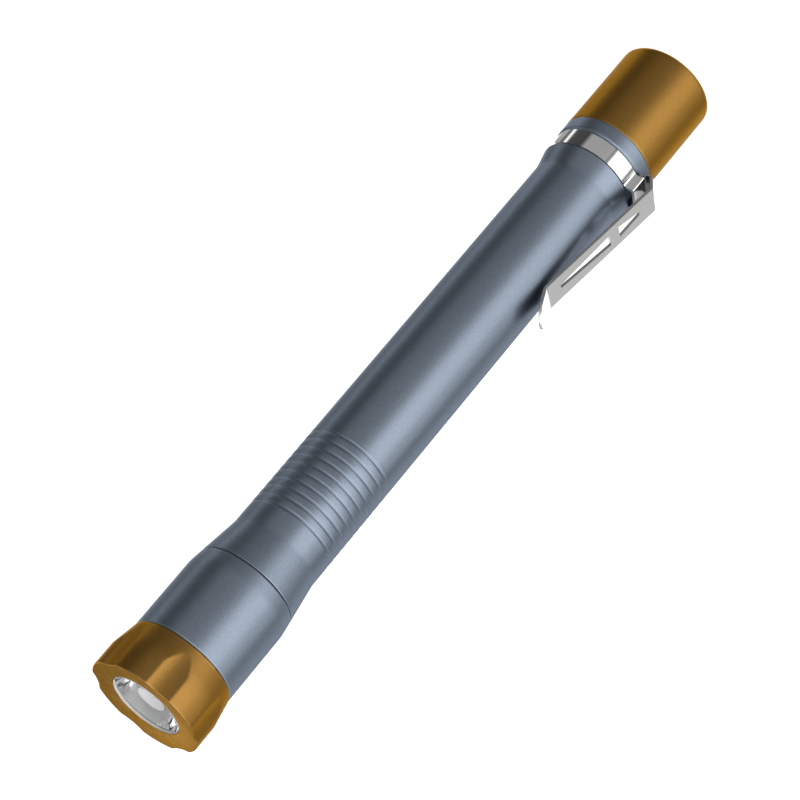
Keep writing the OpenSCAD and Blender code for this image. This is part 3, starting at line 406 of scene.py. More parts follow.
# Head
# Turned sleeve of the same blue-grey aluminium. It screws into the barrel behind and carries
# the front ring's thread before it. A fine dark seam shows where the two meet.
HEAD_R, HEAD_BORE_R, HEAD_STUB_R, FRONT_STUB_R = 8.49, 6.90, 6.55, 7.60
HEAD_CORE_R, FRONT_CORE_R = HEAD_STUB_R - THREAD_DEPTH, FRONT_STUB_R - THREAD_DEPTH
HEAD_STUB_Z, HEAD_THREAD_LOW, HEAD_THREAD_HIGH = 105.6, 105.95, 109.35
HEAD_SEAL_R, HEAD_SEAL_LOW, HEAD_SEAL_HIGH = 5.83, 110.15, 110.95
HEAD_FLOOR_Z, FRONT_SHOULDER_Z, FRONT_END_Z = 112.8, 126.5, 131.2
HEAD_LOW, HEAD_WIDE_Z, HEAD_EDGE_Z, HEAD_FACE_R, HEAD_FACE_Z = 111.93, 114.2, 126.26, 8.28, 126.46
FRONT_THREAD_LOW, FRONT_THREAD_HIGH, FRONT_THREAD_END = 126.7, 130.2, 130.4
HEAD_ROUND, HEAD_EDGE = (0.5, 4), (0.05, 2)
HEAD_CUTS = (112.15, 113.5, 114.9, 126.0)

head_mesh = turned([
    (BORE_R, HEAD_STUB_Z), (HEAD_STUB_R - CHAMFER, HEAD_STUB_Z), (HEAD_STUB_R, HEAD_STUB_Z + CHAMFER),
    (HEAD_STUB_R, HEAD_THREAD_LOW), (HEAD_CORE_R, HEAD_THREAD_LOW + THREAD_END),
    (HEAD_CORE_R, HEAD_THREAD_HIGH - THREAD_END), (HEAD_STUB_R, HEAD_THREAD_HIGH),
    (HEAD_STUB_R, HEAD_SEAL_LOW, *BREAK), (HEAD_SEAL_R, HEAD_SEAL_LOW), (HEAD_SEAL_R, HEAD_SEAL_HIGH),
    (HEAD_STUB_R, HEAD_SEAL_HIGH, *BREAK), (HEAD_STUB_R, SEAM_Z), (SEAM_LAND_R, SEAM_Z),
    (SEAM_R + SEAM_HALF_GAP, HEAD_LOW, *BREAK), (HEAD_R, HEAD_WIDE_Z, *HEAD_ROUND),
    (HEAD_R, HEAD_EDGE_Z, *HEAD_EDGE), (HEAD_FACE_R, HEAD_FACE_Z), (FRONT_STUB_R, FRONT_SHOULDER_Z),
    (FRONT_CORE_R, FRONT_THREAD_LOW), (FRONT_CORE_R, FRONT_THREAD_HIGH), (FRONT_STUB_R, FRONT_THREAD_END),
    (FRONT_STUB_R, FRONT_END_Z - CHAMFER), (FRONT_STUB_R - CHAMFER, FRONT_END_Z),
    (HEAD_BORE_R, FRONT_END_Z), (HEAD_BORE_R, HEAD_FLOOR_Z), (BORE_R, HEAD_FLOOR_Z)])
ring_cuts(head_mesh, HEAD_CUTS)
thread_ridge(head_mesh, HEAD_STUB_R, start=106.5, turns=3)
thread_ridge(head_mesh, FRONT_STUB_R, start=127.2, turns=3)
head = finish_piece(head_mesh, "head_sleeve", blue_grey)
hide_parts("head")
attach(head, "head")


# Front ring
# Turned aluminium ring, anodised bronze, with six wide scallops milled into its side so that
# it turns easily and doesn't roll. Its lip holds the lens in.
RING_STEPS, SCALLOPS, SCALLOP_TURN = 252, 6, 1.2
RING_R, SCALLOP_R, SCALLOP_CENTRE = 9.267, 7.15, 15.89
CONE_Z, CONE_TOP_Z, FRONT_Z, CREST_Z = 126.64, 130.9, 135.1, 135.117
OPENING_R, OPENING_EDGE, DISH = 5.88, 0.04, 0.35
RING_THREAD_R, RING_TAIL_Z, RING_THREAD_END_Z, LIP_Z, CONE_R = 7.65, 126.5, 131.4, 133.8, 8.49
RING_TAIL_R, RING_STEP_R, RING_STEP_Z = 8.0, 8.40, 126.56
CREASE_ANGLE, CREASE_FROM_R, CREASE_ROUND, RIM_SLACK = math.radians(12), 8.6, 0.2, 0.01
RING_CUTS = (127.0, 129.2, 132.8, 134.65)

bronze = anodised(
    "bronze_anodised", dye=(0.362, 0.185, 0.030), worn=(0.72, 0.50, 0.22), roughness=0.40,
    edge_tint=(0.95, 0.72, 0.46), oxide=0.5)

bm = bmesh.new()
ring_profile = [
    (RING_THREAD_R, RING_TAIL_Z), (RING_TAIL_R, RING_TAIL_Z), (RING_TAIL_R, RING_STEP_Z),
    (RING_STEP_R, RING_STEP_Z), (CONE_R, CONE_Z), (RING_R, CONE_TOP_Z), (RING_R, CREST_Z),
    (OPENING_R + OPENING_EDGE, FRONT_Z - DISH), (OPENING_R, FRONT_Z - DISH - OPENING_EDGE),
    (OPENING_R, LIP_Z), (HEAD_BORE_R, LIP_Z), (HEAD_BORE_R, RING_THREAD_END_Z),
    (RING_THREAD_R, RING_THREAD_END_Z)]
points = [bm.verts.new((r * MM, 0, z * MM)) for r, z in ring_profile]
for a, b in zip(points, points[1:] + points[:1]):
    bm.edges.new((a, b))
bmesh.ops.spin(bm, geom=bm.verts[:] + bm.edges[:], cent=(0, 0, 0), axis=(0, 0, 1),
               angle=2 * math.pi, steps=RING_STEPS, use_merge=True, use_duplicate=False)
bmesh.ops.remove_doubles(bm, verts=bm.verts, dist=MERGE)
to_scallops = Matrix.Rotation(-math.radians(SCALLOP_TURN), 3, "Z")
bmesh.ops.rotate(bm, cent=(0, 0, 0), matrix=to_scallops, verts=bm.verts)
cut_half = math.radians(360 / SCALLOPS) / 2
for vert in bm.verts:
    radius = math.hypot(vert.co.x, vert.co.y) / MM
    if radius < RING_R - RIM_SLACK:
        continue
    angle = math.atan2(vert.co.y, vert.co.x) + math.radians(SCALLOP_TURN)
    off = (angle + cut_half) % (2 * cut_half) - cut_half
    inside = SCALLOP_R ** 2 - (SCALLOP_CENTRE * math.sin(off)) ** 2
    limit = SCALLOP_CENTRE * math.cos(off) - math.sqrt(inside) if inside > 0 else RING_R
    if limit > RING_R - MERGE / MM:
        continue
    low = vert.co.z < (FRONT_Z - 1) * MM
    vert.co.x *= limit / radius
    vert.co.y *= limit / radius
    if low:
        vert.co.z = (CONE_Z + (limit - CONE_R) / (RING_R - CONE_R) * (CONE_TOP_Z - CONE_Z)) * MM
    else:
        vert.co.z = (CREST_Z - (RING_R - limit) / (RING_R - OPENING_R) * DISH) * MM
bmesh.ops.recalc_face_normals(bm, faces=bm.faces)
crease = [e for e in bm.edges if e.is_manifold and e.calc_face_angle() > CREASE_ANGLE
          and min(math.hypot(v.co.x, v.co.y) for v in e.verts) > CREASE_FROM_R * MM]
bmesh.ops.bevel(bm, geom=crease, offset=CREASE_ROUND * MM, offset_type="OFFSET", segments=3, profile=0.5,
                affect="EDGES", material=-1, clamp_overlap=True)
bmesh.ops.remove_doubles(bm, verts=bm.verts, dist=2 * MERGE)
ring_cuts(bm, RING_CUTS)
front_ring = finish_piece(bm, "front_ring", bronze)
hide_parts("bezel")
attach(front_ring, "bezel")


# Tail cap
# Turned aluminium cup, anodised bronze like the front ring, with a rounded tail edge and a
# hole for the rubber button. It screws over the barrel's rear stub.
CAP_R, CAP_LONG, CAP_BORE_R, CAP_FLOOR = 8.08, 17.4, 6.75, 1.6
BUTTON_HOLE_R, HOLE_BEVEL = 4.30, 0.35
HOLE_ROUND, CAP_ROUND, MOUTH_ROUND, MOUTH_BREAK = (0.12, 3), (0.8, 8), (0.16, 3), (0.08, 2)
CAP_CUTS = (1.15, 16.95)

cap_mesh = turned([
    (BUTTON_HOLE_R, HOLE_BEVEL), (BUTTON_HOLE_R + HOLE_BEVEL, 0, *HOLE_ROUND), (CAP_R, 0, *CAP_ROUND),
    (CAP_R, CAP_LONG, *MOUTH_ROUND), (CAP_BORE_R, CAP_LONG, *MOUTH_BREAK), (CAP_BORE_R, CAP_FLOOR),
    (BUTTON_HOLE_R, CAP_FLOOR)])
ring_cuts(cap_mesh, CAP_CUTS)
cap = finish_piece(cap_mesh, "tail_cap_shell", bronze)
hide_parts("tail_cap")
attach(cap, "tail")


# Pocket clip
# One stamping of half-millimetre spring steel, pressed, bent and polished. A spring ring snaps
# round the barrel, and a raised bridge folds back into the long slotted tongue.
THICK = 0.5
RING_MID, LEG_Y, BRIDGE_X = 7.75, 2.17, 9.03
HALF_WIDE = 2.42
FOLD_X, FOLD_MID, FOLD_RISE, FOLD_STRAIGHT = 9.56, 0.75, math.radians(56), 2.04
SHOULDER_MID = 0.498
SLOPE, TIP_SLOPE = math.radians(7.7), math.radians(23.4)
TONGUE_LONG, TIP_LONG = 24.6, 5.5
SLOT_WIDE, SLOT_NARROW = 1.10, 0.35
BAND_LOW, BAND_HIGH, BAND_OPEN = 20.32, 23.42, math.radians(88)
BRIDGE_LOW, BRIDGE_STEP, ROOT_Z, ROOT_LOW, ROOT_EASE = 20.42, 0.26, 19.66, 19.50, 0.16
SHORT_SLOT, LONG_SLOT = (3.4, 8.1), (10.2, 21.7)
BEND_STEPS, BEND_LONG, TIP_STEPS, TIP_BLUNT = 4, 0.5, 9, 0.02
LEG_TURN, LEG_EASE_X, LEG_EASE_Y = 0.45, 0.35, 0.06
ROUND_STEPS, ROUND_BLUNT, RING_SWEEP_STEPS = 9, 0.04, 36
SHARP_BEND, SHOULDER_BEND, FOOT_BEND = math.radians(60), 0.26, 0.34
RIM_BREAK, RIM_ANGLE = 0.06, math.radians(50)


def pushed(bm, edges, move):
    """Extrudes a run of edges and moves the new ones on. Returns the new edges and points."""
    grown = bmesh.ops.extrude_edge_only(bm, edges=edges)["geom"]
    verts = [g for g in grown if isinstance(g, bmesh.types.BMVert)]
    bmesh.ops.translate(bm, verts=verts, vec=Vector(move) * MM)
    return [g for g in grown if isinstance(g, bmesh.types.BMEdge)
            and all(v in verts for v in g.verts)], verts


def bent(bm, edges, radius, start, end, steps):
    """Carries a run of edges round a bend of this radius, between two directions."""
    for step in range(steps):
        before = start + (end - start) * step / steps
        after = start + (end - start) * (step + 1) / steps
        edges, _ = pushed(bm, edges, (
            radius * (math.cos(after) - math.cos(before)), 0, radius * (math.sin(after) - math.sin(before))))
    return edges


def spread_row(verts, half_slot, half_edge):
    """Sets the four points of a row across the strip: its two edges and the slot between them."""
    for vert, y in zip(sorted(verts, key=lambda v: v.co.y), (-half_edge, -half_slot, half_slot, half_edge)):
        vert.co.y = y * MM


# The sheet's middle surface: down the bridge, round the fold, over the shoulder, along the tongue
# with its two wedge slots, and out along the flared tip to its round end.
bm = bmesh.new()
row = [bm.verts.new((BRIDGE_X * MM, y * MM, BAND_HIGH * MM))
       for y in (-LEG_Y, -SLOT_NARROW, SLOT_NARROW, LEG_Y)]
edges = [bm.edges.new(pair) for pair in zip(row, row[1:])]
bridge_side = []
edges, _ = pushed(bm, edges, (0, 0, BRIDGE_LOW - BAND_HIGH))
for y in (-1, 1):
    ends = [v for v in bm.verts if abs(v.co.y - y * LEG_Y * MM) < MERGE]
    bridge_side.append(next(e for e in ends[0].link_edges if e.other_vert(ends[0]) in ends))
edges, row_now = pushed(bm, edges, (0, 0, -BRIDGE_STEP))
spread_row(row_now, SLOT_NARROW, HALF_WIDE)
edges, _ = pushed(bm, edges, (0, 0, ROOT_Z - BRIDGE_LOW + BRIDGE_STEP))
edges, _ = pushed(bm, edges, (ROOT_EASE, 0, ROOT_LOW - ROOT_Z))
edges, _ = pushed(bm, edges, (FOLD_X - BRIDGE_X - ROOT_EASE, 0, 0))
edges = bent(bm, edges, FOLD_MID, -math.pi / 2, FOLD_RISE - math.pi / 2, steps=7)
edges, _ = pushed(bm, edges, (
    FOLD_STRAIGHT * math.cos(FOLD_RISE), 0, FOLD_STRAIGHT * math.sin(FOLD_RISE)))
edges = bent(bm, edges, SHOULDER_MID, FOLD_RISE - math.pi / 2, SLOPE, steps=6)
slot_faces = []
along = 0
for mark, half_slot, cut in (
        (SHORT_SLOT[0], SLOT_NARROW, False), (SHORT_SLOT[1], SLOT_WIDE, True),
        (LONG_SLOT[0], SLOT_WIDE, False), (LONG_SLOT[1], SLOT_NARROW, True),
        (TONGUE_LONG - BEND_LONG / 2, SLOT_NARROW, False)):
    step = mark - along
    known = set(bm.faces)
    edges, row_now = pushed(bm, edges, (-step * math.sin(SLOPE), 0, step * math.cos(SLOPE)))
    spread_row(row_now, half_slot, HALF_WIDE)
    if cut:
        slot_faces.append(min(set(bm.faces) - known, key=lambda f: abs(f.calc_center_median().y)))
    along = mark
for step in range(BEND_STEPS):
    lean = -SLOPE + (SLOPE + TIP_SLOPE) * (step + 0.5) / BEND_STEPS
    edges, _ = pushed(
        bm, edges, (BEND_LONG * math.sin(lean) / BEND_STEPS, 0, BEND_LONG * math.cos(lean) / BEND_STEPS))
straight = TIP_LONG - BEND_LONG / 2 - HALF_WIDE
edges, _ = pushed(bm, edges, (straight * math.sin(TIP_SLOPE), 0, straight * math.cos(TIP_SLOPE)))
for step in range(TIP_STEPS):
    before = math.radians(90) * step / TIP_STEPS
    after = math.radians(90) * (step + 1) / TIP_STEPS
    move = HALF_WIDE * (math.sin(after) - math.sin(before))
    edges, row_now = pushed(bm, edges, (move * math.sin(TIP_SLOPE), 0, move * math.cos(TIP_SLOPE)))
    half = HALF_WIDE * max(math.cos(after), TIP_BLUNT)
    spread_row(row_now, half * SLOT_NARROW / HALF_WIDE, half)
bmesh.ops.delete(bm, geom=slot_faces, context="FACES_ONLY")

# A leg grows from each side of the bridge, turns and runs round the barrel to a rounded end.
half_band, band_middle = (BAND_HIGH - BAND_LOW) / 2, (BAND_LOW + BAND_HIGH) / 2
for side, edge in zip((-1, 1), bridge_side):
    leg_foot = math.sqrt(RING_MID ** 2 - LEG_Y ** 2)
    edges, _ = pushed(bm, [edge], (leg_foot + LEG_TURN - BRIDGE_X, 0, 0))
    edges, row_now = pushed(bm, edges, (-LEG_EASE_X, side * LEG_EASE_Y, 0))
    start = math.atan2(LEG_Y + LEG_TURN, RING_MID)
    for vert in row_now:
        vert.co.x, vert.co.y = RING_MID * math.cos(start) * MM, side * RING_MID * math.sin(start) * MM
        vert.co.z = (BAND_LOW if vert.co.z < band_middle * MM else BAND_HIGH) * MM
    round_start = math.pi - BAND_OPEN / 2 - half_band / RING_MID
    swept = bmesh.ops.spin(bm, geom=row_now + edges, cent=(0, 0, 0), axis=(0, 0, side),
                           angle=round_start - start, steps=RING_SWEEP_STEPS, use_merge=False,
                           use_duplicate=False)
    row_now = [g for g in swept["geom_last"] if isinstance(g, bmesh.types.BMVert)]
    edges = [g for g in swept["geom_last"] if isinstance(g, bmesh.types.BMEdge)]
    for step in range(ROUND_STEPS):
        before = math.radians(90) * step / ROUND_STEPS
        after = math.radians(90) * (step + 1) / ROUND_STEPS
        turn = half_band / RING_MID * (math.sin(after) - math.sin(before))
        edges, row_now = pushed(bm, edges, (0, 0, 0))
        bmesh.ops.rotate(bm, verts=row_now, cent=(0, 0, 0), matrix=Matrix.Rotation(side * turn, 3, "Z"))
        half = half_band * max(math.cos(after), ROUND_BLUNT)
        for vert in row_now:
            vert.co.z = (band_middle + (half if vert.co.z > band_middle * MM else -half)) * MM
bmesh.ops.remove_doubles(bm, verts=bm.verts, dist=2 * MERGE)
bend_edges = [e for e in bm.edges if len(e.link_faces) == 2 and e.calc_face_angle() > SHARP_BEND]
shoulder = [e for e in bend_edges if e.verts[0].co.x > (BRIDGE_X - THICK / 4) * MM]
foot = [e for e in bend_edges if e not in shoulder]
for bend, radius in ((shoulder, SHOULDER_BEND), (foot, FOOT_BEND)):
    bmesh.ops.bevel(bm, geom=bend, offset=radius * MM, offset_type="OFFSET", segments=4, profile=0.5,
                    affect="EDGES", material=-1, clamp_overlap=True)
bmesh.ops.recalc_face_normals(bm, faces=bm.faces)

# The middle surface gets its thickness and broken edges. The rim is kept apart as the sheared edge.
sheet_mesh = bpy.data.meshes.new("clip_sheet")
bm.to_mesh(sheet_mesh)
bm.free()
sheet = bpy.data.objects.new("clip_sheet", sheet_mesh)
bpy.context.scene.collection.objects.link(sheet)
wall = sheet.modifiers.new("wall", "SOLIDIFY")
wall.thickness = THICK * MM
wall.offset = 0
wall.use_even_offset = True
wall.use_quality_normals = True
wall.material_offset_rim = 1
rim = sheet.modifiers.new("rim", "BEVEL")
rim.width = RIM_BREAK * MM
rim.segments = 2
rim.limit_method = "ANGLE"
rim.angle_limit = RIM_ANGLE

polished, tree, shader = new_material("polished_steel", Metallic=1.0, Roughness=0.1)
place = put(tree, "TexCoord").outputs["Object"]
stroke = put(tree, "Mapping", {"Vector": place, "Scale": (1.0, 1.0, 0.03)})
brushed = put(tree, "TexNoise", {"Vector": stroke.outputs[0], "Scale": 9000.0, "Detail": 3.0})
uneven_gloss(tree, shader, place, size=140.0, low=0.06, high=0.10)
bright = ramp(tree, brushed.outputs["Fac"], ((0.3, (0.74, 0.74, 0.74)), (0.7, (0.81, 0.81, 0.80))))
# Inside the fold the steel colour is painted darker: painted shade where the fold keeps the light out.
BEHIND_BRIDGE, WITHIN_FOLD, UNDER_MOUTH = (9.20, 9.27), (10.9, 9.5), (23.9, 22.9)
spot = put(tree, "SeparateXYZ", {"Vector": place}).outputs
inside = None
for axis, (bright_at, dark_at) in (("X", BEHIND_BRIDGE), ("X", WITHIN_FOLD), ("Z", UNDER_MOUTH)):
    step = put(tree, "MapRange", {
        "Value": spot[axis], "From Min": bright_at * MM, "From Max": dark_at * MM,
        "To Min": 0.0, "To Max": 1.0}).outputs["Result"]
    inside = put(tree, "Math", {0: inside, 1: step}, operation="MULTIPLY").outputs[0] if inside else step
# Painted shade: the colour goes to dark grey behind the bridge, within the fold and under its mouth.
steel_with_painted_shade = put(tree, "MixRGB", {
    "Fac": inside, "Color1": bright, "Color2": (0.34, 0.34, 0.34, 1)})
tree.links.new(steel_with_painted_shade.outputs[0], shader.inputs["Base Color"])
raised(tree, shader, brushed.outputs["Fac"], strength=0.06, depth=0.01)

# The blanked edges of the strip are duller than its polished faces.
sheared, tree, shader = new_material("sheared_steel", Metallic=1.0, Roughness=0.30)
place = put(tree, "TexCoord").outputs["Object"]
torn = use_group(tree, grain, {"Place": place, "Fineness": 7000.0})
tree.links.new(ramp(tree, torn["Tone"], (
    (0.3, (0.62, 0.62, 0.63)), (0.7, (0.80, 0.80, 0.80)))), shader.inputs["Base Color"])
raised(tree, shader, torn["Height"], strength=0.2, depth=0.01)

sheet_mesh.materials.append(polished)
sheet_mesh.materials.append(sheared)
bpy.context.view_layer.update()
bm = bmesh.new()
bm.from_mesh(bpy.data.meshes.new_from_object(sheet.evaluated_get(bpy.context.evaluated_depsgraph_get())))
bpy.data.objects.remove(sheet)
clip = finish_piece(bm, "pocket_clip", polished)
clip.data.materials.append(sheared)

# The tongue's back, facing the barrel, is rougher steel painted near black as painted shade, which the
# barrel mirrors.
BACK_FROM_X, BACK_FROM_Z, FACING_IN = 7.7, 22, -0.5
skin, tree, shader = new_material("steel_back_painted_shade", Metallic=1.0, Roughness=0.3)
mottle = use_group(tree, cloud, {
    "Place": put(tree, "TexCoord").outputs["Object"], "Size": 500.0, "Low": 0.0, "High": 1.0})
# Painted shade: the back's colour is kept between 0.11 and 0.18 grey.
tree.links.new(ramp(tree, mottle["Value"], ((0, 0.11), (1, 0.18))), shader.inputs["Base Color"])
clip.data.materials.append(skin)
for face in clip.data.polygons:
    on_back = face.normal.x < FACING_IN and face.material_index == 0
    if on_back and face.center.x > BACK_FROM_X * MM and face.center.z > BACK_FROM_Z * MM:
        face.material_index = 2
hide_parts("clip_band", "clip_tongue")
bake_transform(clip)


# Rubber button
# Moulded silicone cup that closes the cap's tail hole. Its flange is clamped inside the cap,
# and pressing its face works the switch.
def rubber(name, colour, roughness):
    """Moulded rubber with a fine matt grain and a little dust."""
    material, tree, shader = new_material(name, Roughness=roughness)
    place = put(tree, "TexCoord").outputs["Object"]
    skin = use_group(tree, grain, {"Place": place, "Fineness": 4200.0})
    dusty = use_group(tree, cloud, {"Place": place, "Size": 300.0, "Low": 0.0, "High": 0.12})
    tone = put(tree, "MixRGB", {
        "Fac": dusty["Value"], "Color1": (*colour, 1), "Color2": (0.2, 0.19, 0.18, 1)})
    tree.links.new(tone.outputs[0], shader.inputs["Base Color"])
    uneven_gloss(tree, shader, place, size=500.0, low=roughness - 0.08, high=roughness + 0.05)
    raised(tree, shader, skin["Height"], strength=0.5, depth=0.03)
    return material


black_rubber = rubber("black_rubber", (0.018, 0.018, 0.02), 0.72)
BOOT_R, BOOT_BORE_R, BOOT_FLANGE_R, BOOT_FLOOR, BOOT_FLANGE_TOP = 4.2, 3.5, 6.65, 1.1, 2.4
# The face is a low dome, a shallow groove round it and a rounded edge.
BOOT_DOME = ((0, 0.42), (2.6, 0.46, 0.5, 3))
BOOT_GROOVE = ((3.1, 0.62, 0.2, 3), (3.5, 0.45, 0.2, 3))
BOOT_FACE_Z, BOOT_ROUND = 0.4, (0.5, 5)

button_mesh = turned([
    *BOOT_DOME, *BOOT_GROOVE, (BOOT_R, BOOT_FACE_Z, *BOOT_ROUND), (BOOT_R, CAP_FLOOR),
    (BOOT_FLANGE_R, CAP_FLOOR), (BOOT_FLANGE_R, BOOT_FLANGE_TOP),
    (BOOT_BORE_R, BOOT_FLANGE_TOP), (BOOT_BORE_R, BOOT_FLOOR), (0, BOOT_FLOOR)])
button = finish_piece(button_mesh, "rubber_button", black_rubber)
button.modifiers.clear()
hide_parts("button_boot")
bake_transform(button)

for name in ("tail_o_ring", "head_o_ring", "lens_seal"):
    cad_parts[name].data.materials.clear()
    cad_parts[name].data.materials.append(black_rubber)


# Lens
# Clear moulded acrylic optic: a flat face, a flange and a curved cone that gathers the light.
# It stands in a white cup over the light source.
def lets_light_by(tree, shader, tint):
    """Lets shadow and diffuse rays straight through a clear piece, so that what it covers is lit."""
    passing = put(tree, "BsdfTransparent", {"Color": (*tint, 1)})
    path = put(tree, "LightPath")
    unseen = put(tree, "Math", {
        0: path.outputs["Is Shadow Ray"], 1: path.outputs["Is Diffuse Ray"]}, operation="MAXIMUM")
    mixed = put(tree, "MixShader", {0: unseen.outputs[0], 1: shader.outputs[0], 2: passing.outputs[0]})
    output = next(n for n in tree.nodes if n.type == "OUTPUT_MATERIAL")
    tree.links.new(mixed.outputs[0], output.inputs["Surface"])


clear, tree, shader = new_material(
    "clear_acrylic", Base_Color=(0.98, 0.98, 0.98, 1), Transmission_Weight=1.0, IOR=1.49, Roughness=0.01)
place = put(tree, "TexCoord").outputs["Object"]
uneven_gloss(tree, shader, place, size=200.0, low=0.0, high=0.02)
ripple = use_group(tree, lathe, {"Place": place, "Lines": 2500.0})
raised(tree, shader, ripple["Height"], strength=0.02, depth=0.003)
lets_light_by(tree, shader, (1.0, 1.0, 1.0))

LENS_FACE_R, LENS_FLANGE_R, FLANGE_LOW, FLANGE_HIGH, LENS_FACE_Z = 5.8, 6.8, 132.3, 133.2, 134.75
WELL_R, WELL_TOP, LENS_FOOT_R, LENS_FOOT_Z, LENS_SHOULDER_R = 2.36, 130.35, 2.9, 126.75, 6.0
WELL_DOME, WELL_ROUND, WELL_BREAK = ((0, 129.9), (1.2, 130.01)), (0.2, 3), (0.05, 2)
FLANGE_EDGE, FACE_EDGE, BOWL_STEPS = (0.1, 2), (0.08, 3), 24
bowl = [(LENS_FOOT_R + (LENS_SHOULDER_R - LENS_FOOT_R) * step / BOWL_STEPS,
         LENS_FOOT_Z + (FLANGE_LOW - LENS_FOOT_Z) * (step / BOWL_STEPS) ** 2)
        for step in range(BOWL_STEPS + 1)]
optic_mesh = turned([
    *WELL_DOME, (WELL_R, WELL_TOP, *WELL_ROUND), (WELL_R, LENS_FOOT_Z, *WELL_BREAK), *bowl,
    (LENS_FLANGE_R, FLANGE_LOW), (LENS_FLANGE_R, FLANGE_HIGH, *FLANGE_EDGE), (LENS_FACE_R, FLANGE_HIGH),
    (LENS_FACE_R, LENS_FACE_Z, *FACE_EDGE), (0, LENS_FACE_Z)])
optic = finish_piece(optic_mesh, "collimator_lens", clear)
# The well's top and the rim under the flat face are left matt by the mould.
MATT_WELL_R, MATT_WELL_LOW, MATT_WELL_HIGH = 2.3, 129.8, 130.6
MATT_RIM_R, MATT_RIM_LOW, MATT_RIM_HIGH = 5.7, 133.25, 134.65
frosted, tree, shader = new_material("frosted_acrylic", Roughness=0.6)
frost = use_group(tree, grain, {
    "Place": put(tree, "TexCoord").outputs["Object"], "Fineness": 4000.0})
tree.links.new(ramp(tree, frost["Tone"], ((0.2, 0.90), (0.8, 0.97))), shader.inputs["Base Color"])
optic.data.materials.append(frosted)
for face in optic.data.polygons:
    out = math.hypot(face.center.x, face.center.y)
    up = face.center.z
    on_well_top = out < MATT_WELL_R * MM and MATT_WELL_LOW * MM < up < MATT_WELL_HIGH * MM
    on_rim = out > MATT_RIM_R * MM and MATT_RIM_LOW * MM < up < MATT_RIM_HIGH * MM
    if on_well_top or on_rim:
        face.material_index = 1
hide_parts("optic")
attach(optic, "head")


# Springs
# Three coils of round wire: the plated battery and contact springs are cones, and the bright switch spring
# is straight.
COIL_STEPS = 28


def wound(name, low, high, d_low, d_high, wire, turns, material):
    """A coil of round wire between two heights, as one curve made into a mesh."""
    curve = bpy.data.curves.new(name, "CURVE")
    curve.dimensions = "3D"
    curve.bevel_depth = wire / 2 * MM
    curve.bevel_resolution = 3
    curve.use_fill_caps = True
    count = turns * COIL_STEPS
    spline = curve.splines.new("POLY")
    spline.points.add(count)
    for i, point in enumerate(spline.points):
        part = i / count
        angle = 2 * math.pi * i / COIL_STEPS
        radius = (d_low + (d_high - d_low) * part - wire) / 2
        z = low + wire / 2 + (high - low - wire) * part
        point.co = (radius * math.cos(angle) * MM, radius * math.sin(angle) * MM, z * MM, 1)
    coil = bpy.data.objects.new(name, curve)
    bpy.context.scene.collection.objects.link(coil)
    bpy.context.view_layer.update()
    mesh = bpy.data.meshes.new_from_object(coil.evaluated_get(bpy.context.evaluated_depsgraph_get()))
    bpy.data.objects.remove(coil)
    bm = bmesh.new()
    bm.from_mesh(mesh)
    bmesh.ops.remove_doubles(bm, verts=bm.verts, dist=MERGE)
    piece = finish_piece(bm, name, material)
    piece.modifiers.clear()
    return piece


def bright_metal(name, low, high, roughness, lines=3000.0):
    """Plated or drawn metal with faint tool lines and slow tarnish."""
    material, tree, shader = new_material(name, Metallic=1.0, Roughness=roughness)
    place = put(tree, "TexCoord").outputs["Object"]
    marks = use_group(tree, lathe, {"Place": place, "Lines": lines})
    tarnish = use_group(tree, cloud, {"Place": place, "Size": 400.0, "Low": 0.0, "High": 1.0})
    tone = put(tree, "MixRGB", {"Fac": tarnish["Value"], "Color1": (*low, 1), "Color2": (*high, 1)})
    tree.links.new(tone.outputs[0], shader.inputs["Base Color"])
    uneven_gloss(tree, shader, place, size=900.0, low=roughness - 0.06, high=roughness + 0.06)
    raised(tree, shader, marks["Height"], strength=0.15, depth=0.01)
    return material


plated = bright_metal("plated_contact", (0.72, 0.52, 0.20), (0.86, 0.68, 0.34), 0.24)
bright_wire = bright_metal("bright_wire", (0.62, 0.62, 0.62), (0.78, 0.78, 0.77), 0.2)

battery_coil = wound(
    "battery_coil", low=8.8, high=14.0, d_low=8.0, d_high=5.6, wire=0.6, turns=4, material=plated)
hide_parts("battery_spring")
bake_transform(battery_coil)
contact_coil = wound(
    "contact_coil", low=103.0, high=106.4, d_low=3.4, d_high=5.0, wire=0.45, turns=3, material=plated)
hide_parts("contact_spring")
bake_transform(contact_coil)
switch_coil = wound(
    "switch_coil", low=4.7, high=7.3, d_low=4.4, d_high=4.4, wire=0.3, turns=3, material=bright_wire)
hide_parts("switch_spring")
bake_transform(switch_coil)


# Light source and its cup
# A white ceramic base with a square of yellow phosphor under a clear silicone dome, on a small
# round board. The moulded white cup round it carries the lens.
def moulded(name, colour, roughness, fineness=3000.0):
    """Moulded plastic or ceramic with a soft grain and slight flow marks."""
    material, tree, shader = new_material(name, Roughness=roughness)
    place = put(tree, "TexCoord").outputs["Object"]
    skin = use_group(tree, grain, {"Place": place, "Fineness": fineness})
    flow = use_group(tree, cloud, {"Place": place, "Size": 250.0, "Low": 0.9, "High": 1.06})
    tone = put(tree, "VectorMath", {0: colour, "Scale": flow["Value"]}, operation="SCALE")
    tree.links.new(tone.outputs[0], shader.inputs["Base Color"])
    uneven_gloss(tree, shader, place, size=700.0, low=roughness - 0.05, high=roughness + 0.05)
    raised(tree, shader, skin["Height"], strength=0.3, depth=0.02)
    return material


def dress(material, *names):
    """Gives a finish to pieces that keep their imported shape."""
    for name in names:
        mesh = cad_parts[name].data
        mesh.materials.clear()
        mesh.materials.append(material)


dress(moulded("white_cup", (0.74, 0.75, 0.76), 0.35), "optic_holder")

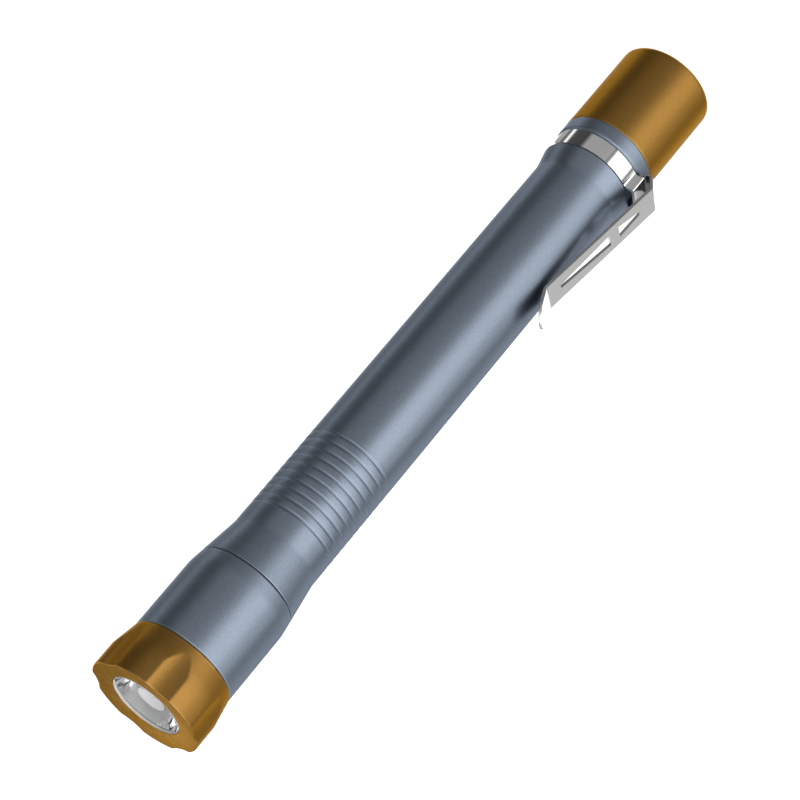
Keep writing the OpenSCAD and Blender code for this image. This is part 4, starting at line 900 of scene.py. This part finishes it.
CHIP_HALF = 0.76
phosphor, tree, shader = new_material("ceramic_and_phosphor", Roughness=0.45)
place = put(tree, "TexCoord").outputs["Object"]
where = put(tree, "SeparateXYZ", {"Vector": place})
far_x = put(tree, "Math", {0: where.outputs["X"]}, operation="ABSOLUTE")
far_y = put(tree, "Math", {0: where.outputs["Y"]}, operation="ABSOLUTE")
far = put(tree, "Math", {0: far_x.outputs[0], 1: far_y.outputs[0]}, operation="MAXIMUM")
chip = put(tree, "Math", {0: far.outputs[0], 1: CHIP_HALF * MM}, operation="LESS_THAN")
speck = use_group(tree, grain, {"Place": place, "Fineness": 9000.0})
yellow = ramp(tree, speck["Tone"], ((0.3, (0.80, 0.62, 0.08)), (0.7, (0.90, 0.76, 0.18))))
both = put(tree, "MixRGB", {"Fac": chip.outputs[0], "Color1": (0.86, 0.86, 0.84, 1), "Color2": yellow})
tree.links.new(both.outputs[0], shader.inputs["Base Color"])
raised(tree, shader, speck["Height"], strength=0.3, depth=0.01)
dress(phosphor, "led_package")

silicone, tree, shader = new_material(
    "clear_silicone", Base_Color=(0.98, 0.97, 0.9, 1), Transmission_Weight=1.0, IOR=1.41, Roughness=0.05)
place = put(tree, "TexCoord").outputs["Object"]
uneven_gloss(tree, shader, place, size=900.0, low=0.03, high=0.08)
lets_light_by(tree, shader, (0.95, 0.94, 0.88))
dress(silicone, "led_dome")
dress(moulded("white_mask", (0.78, 0.79, 0.78), 0.4), "led_board")


# Driver and heat sink
# A turned aluminium plug carries the light source and hides the driver: a green board with a
# chip, a ferrite coil and two soldered leads, held by a brass ring.
dress(bright_metal("turned_aluminium", (0.66, 0.67, 0.68), (0.78, 0.78, 0.79), 0.3, 2500.0), "led_pill")
dress(moulded("board_green", (0.02, 0.14, 0.05), 0.35), "driver_board", "switch_board")
dress(moulded("black_moulding", (0.03, 0.03, 0.032), 0.45), "driver_chip", "switch_spacer", "switch_housing")
dress(moulded("ferrite", (0.05, 0.05, 0.055), 0.6, 6000.0), "boost_coil")
dress(moulded("pale_moulding", (0.72, 0.71, 0.66), 0.4), "switch_plunger")
dress(plated, "driver_ring", "switch_ring")

leads, tree, shader = new_material("lead_insulation", Roughness=0.4)
place = put(tree, "TexCoord").outputs["Object"]
side = put(tree, "SeparateXYZ", {"Vector": place})
red_side = put(tree, "Math", {0: side.outputs["Y"], 1: 0.0}, operation="GREATER_THAN")
skin = use_group(tree, grain, {"Place": place, "Fineness": 6000.0})
pair = put(tree, "MixRGB", {
    "Fac": red_side.outputs[0], "Color1": (0.02, 0.02, 0.02, 1), "Color2": (0.45, 0.02, 0.015, 1)})
tree.links.new(pair.outputs[0], shader.inputs["Base Color"])
raised(tree, shader, skin["Height"], strength=0.3, depth=0.02)
dress(leads, "led_wires")


# Cells
# Two standard cells in line, each a nickel-plated can in a blank plastic shrink sleeve. They
# lie loose in the barrel's bore, held between the battery spring and the front contact.
dress(bright_metal("nickel_can", (0.66, 0.65, 0.62), (0.80, 0.79, 0.76), 0.28), "front_cell", "rear_cell")
dress(moulded("shrink_sleeve", (0.07, 0.085, 0.11), 0.25), "front_cell_sleeve", "rear_cell_sleeve")
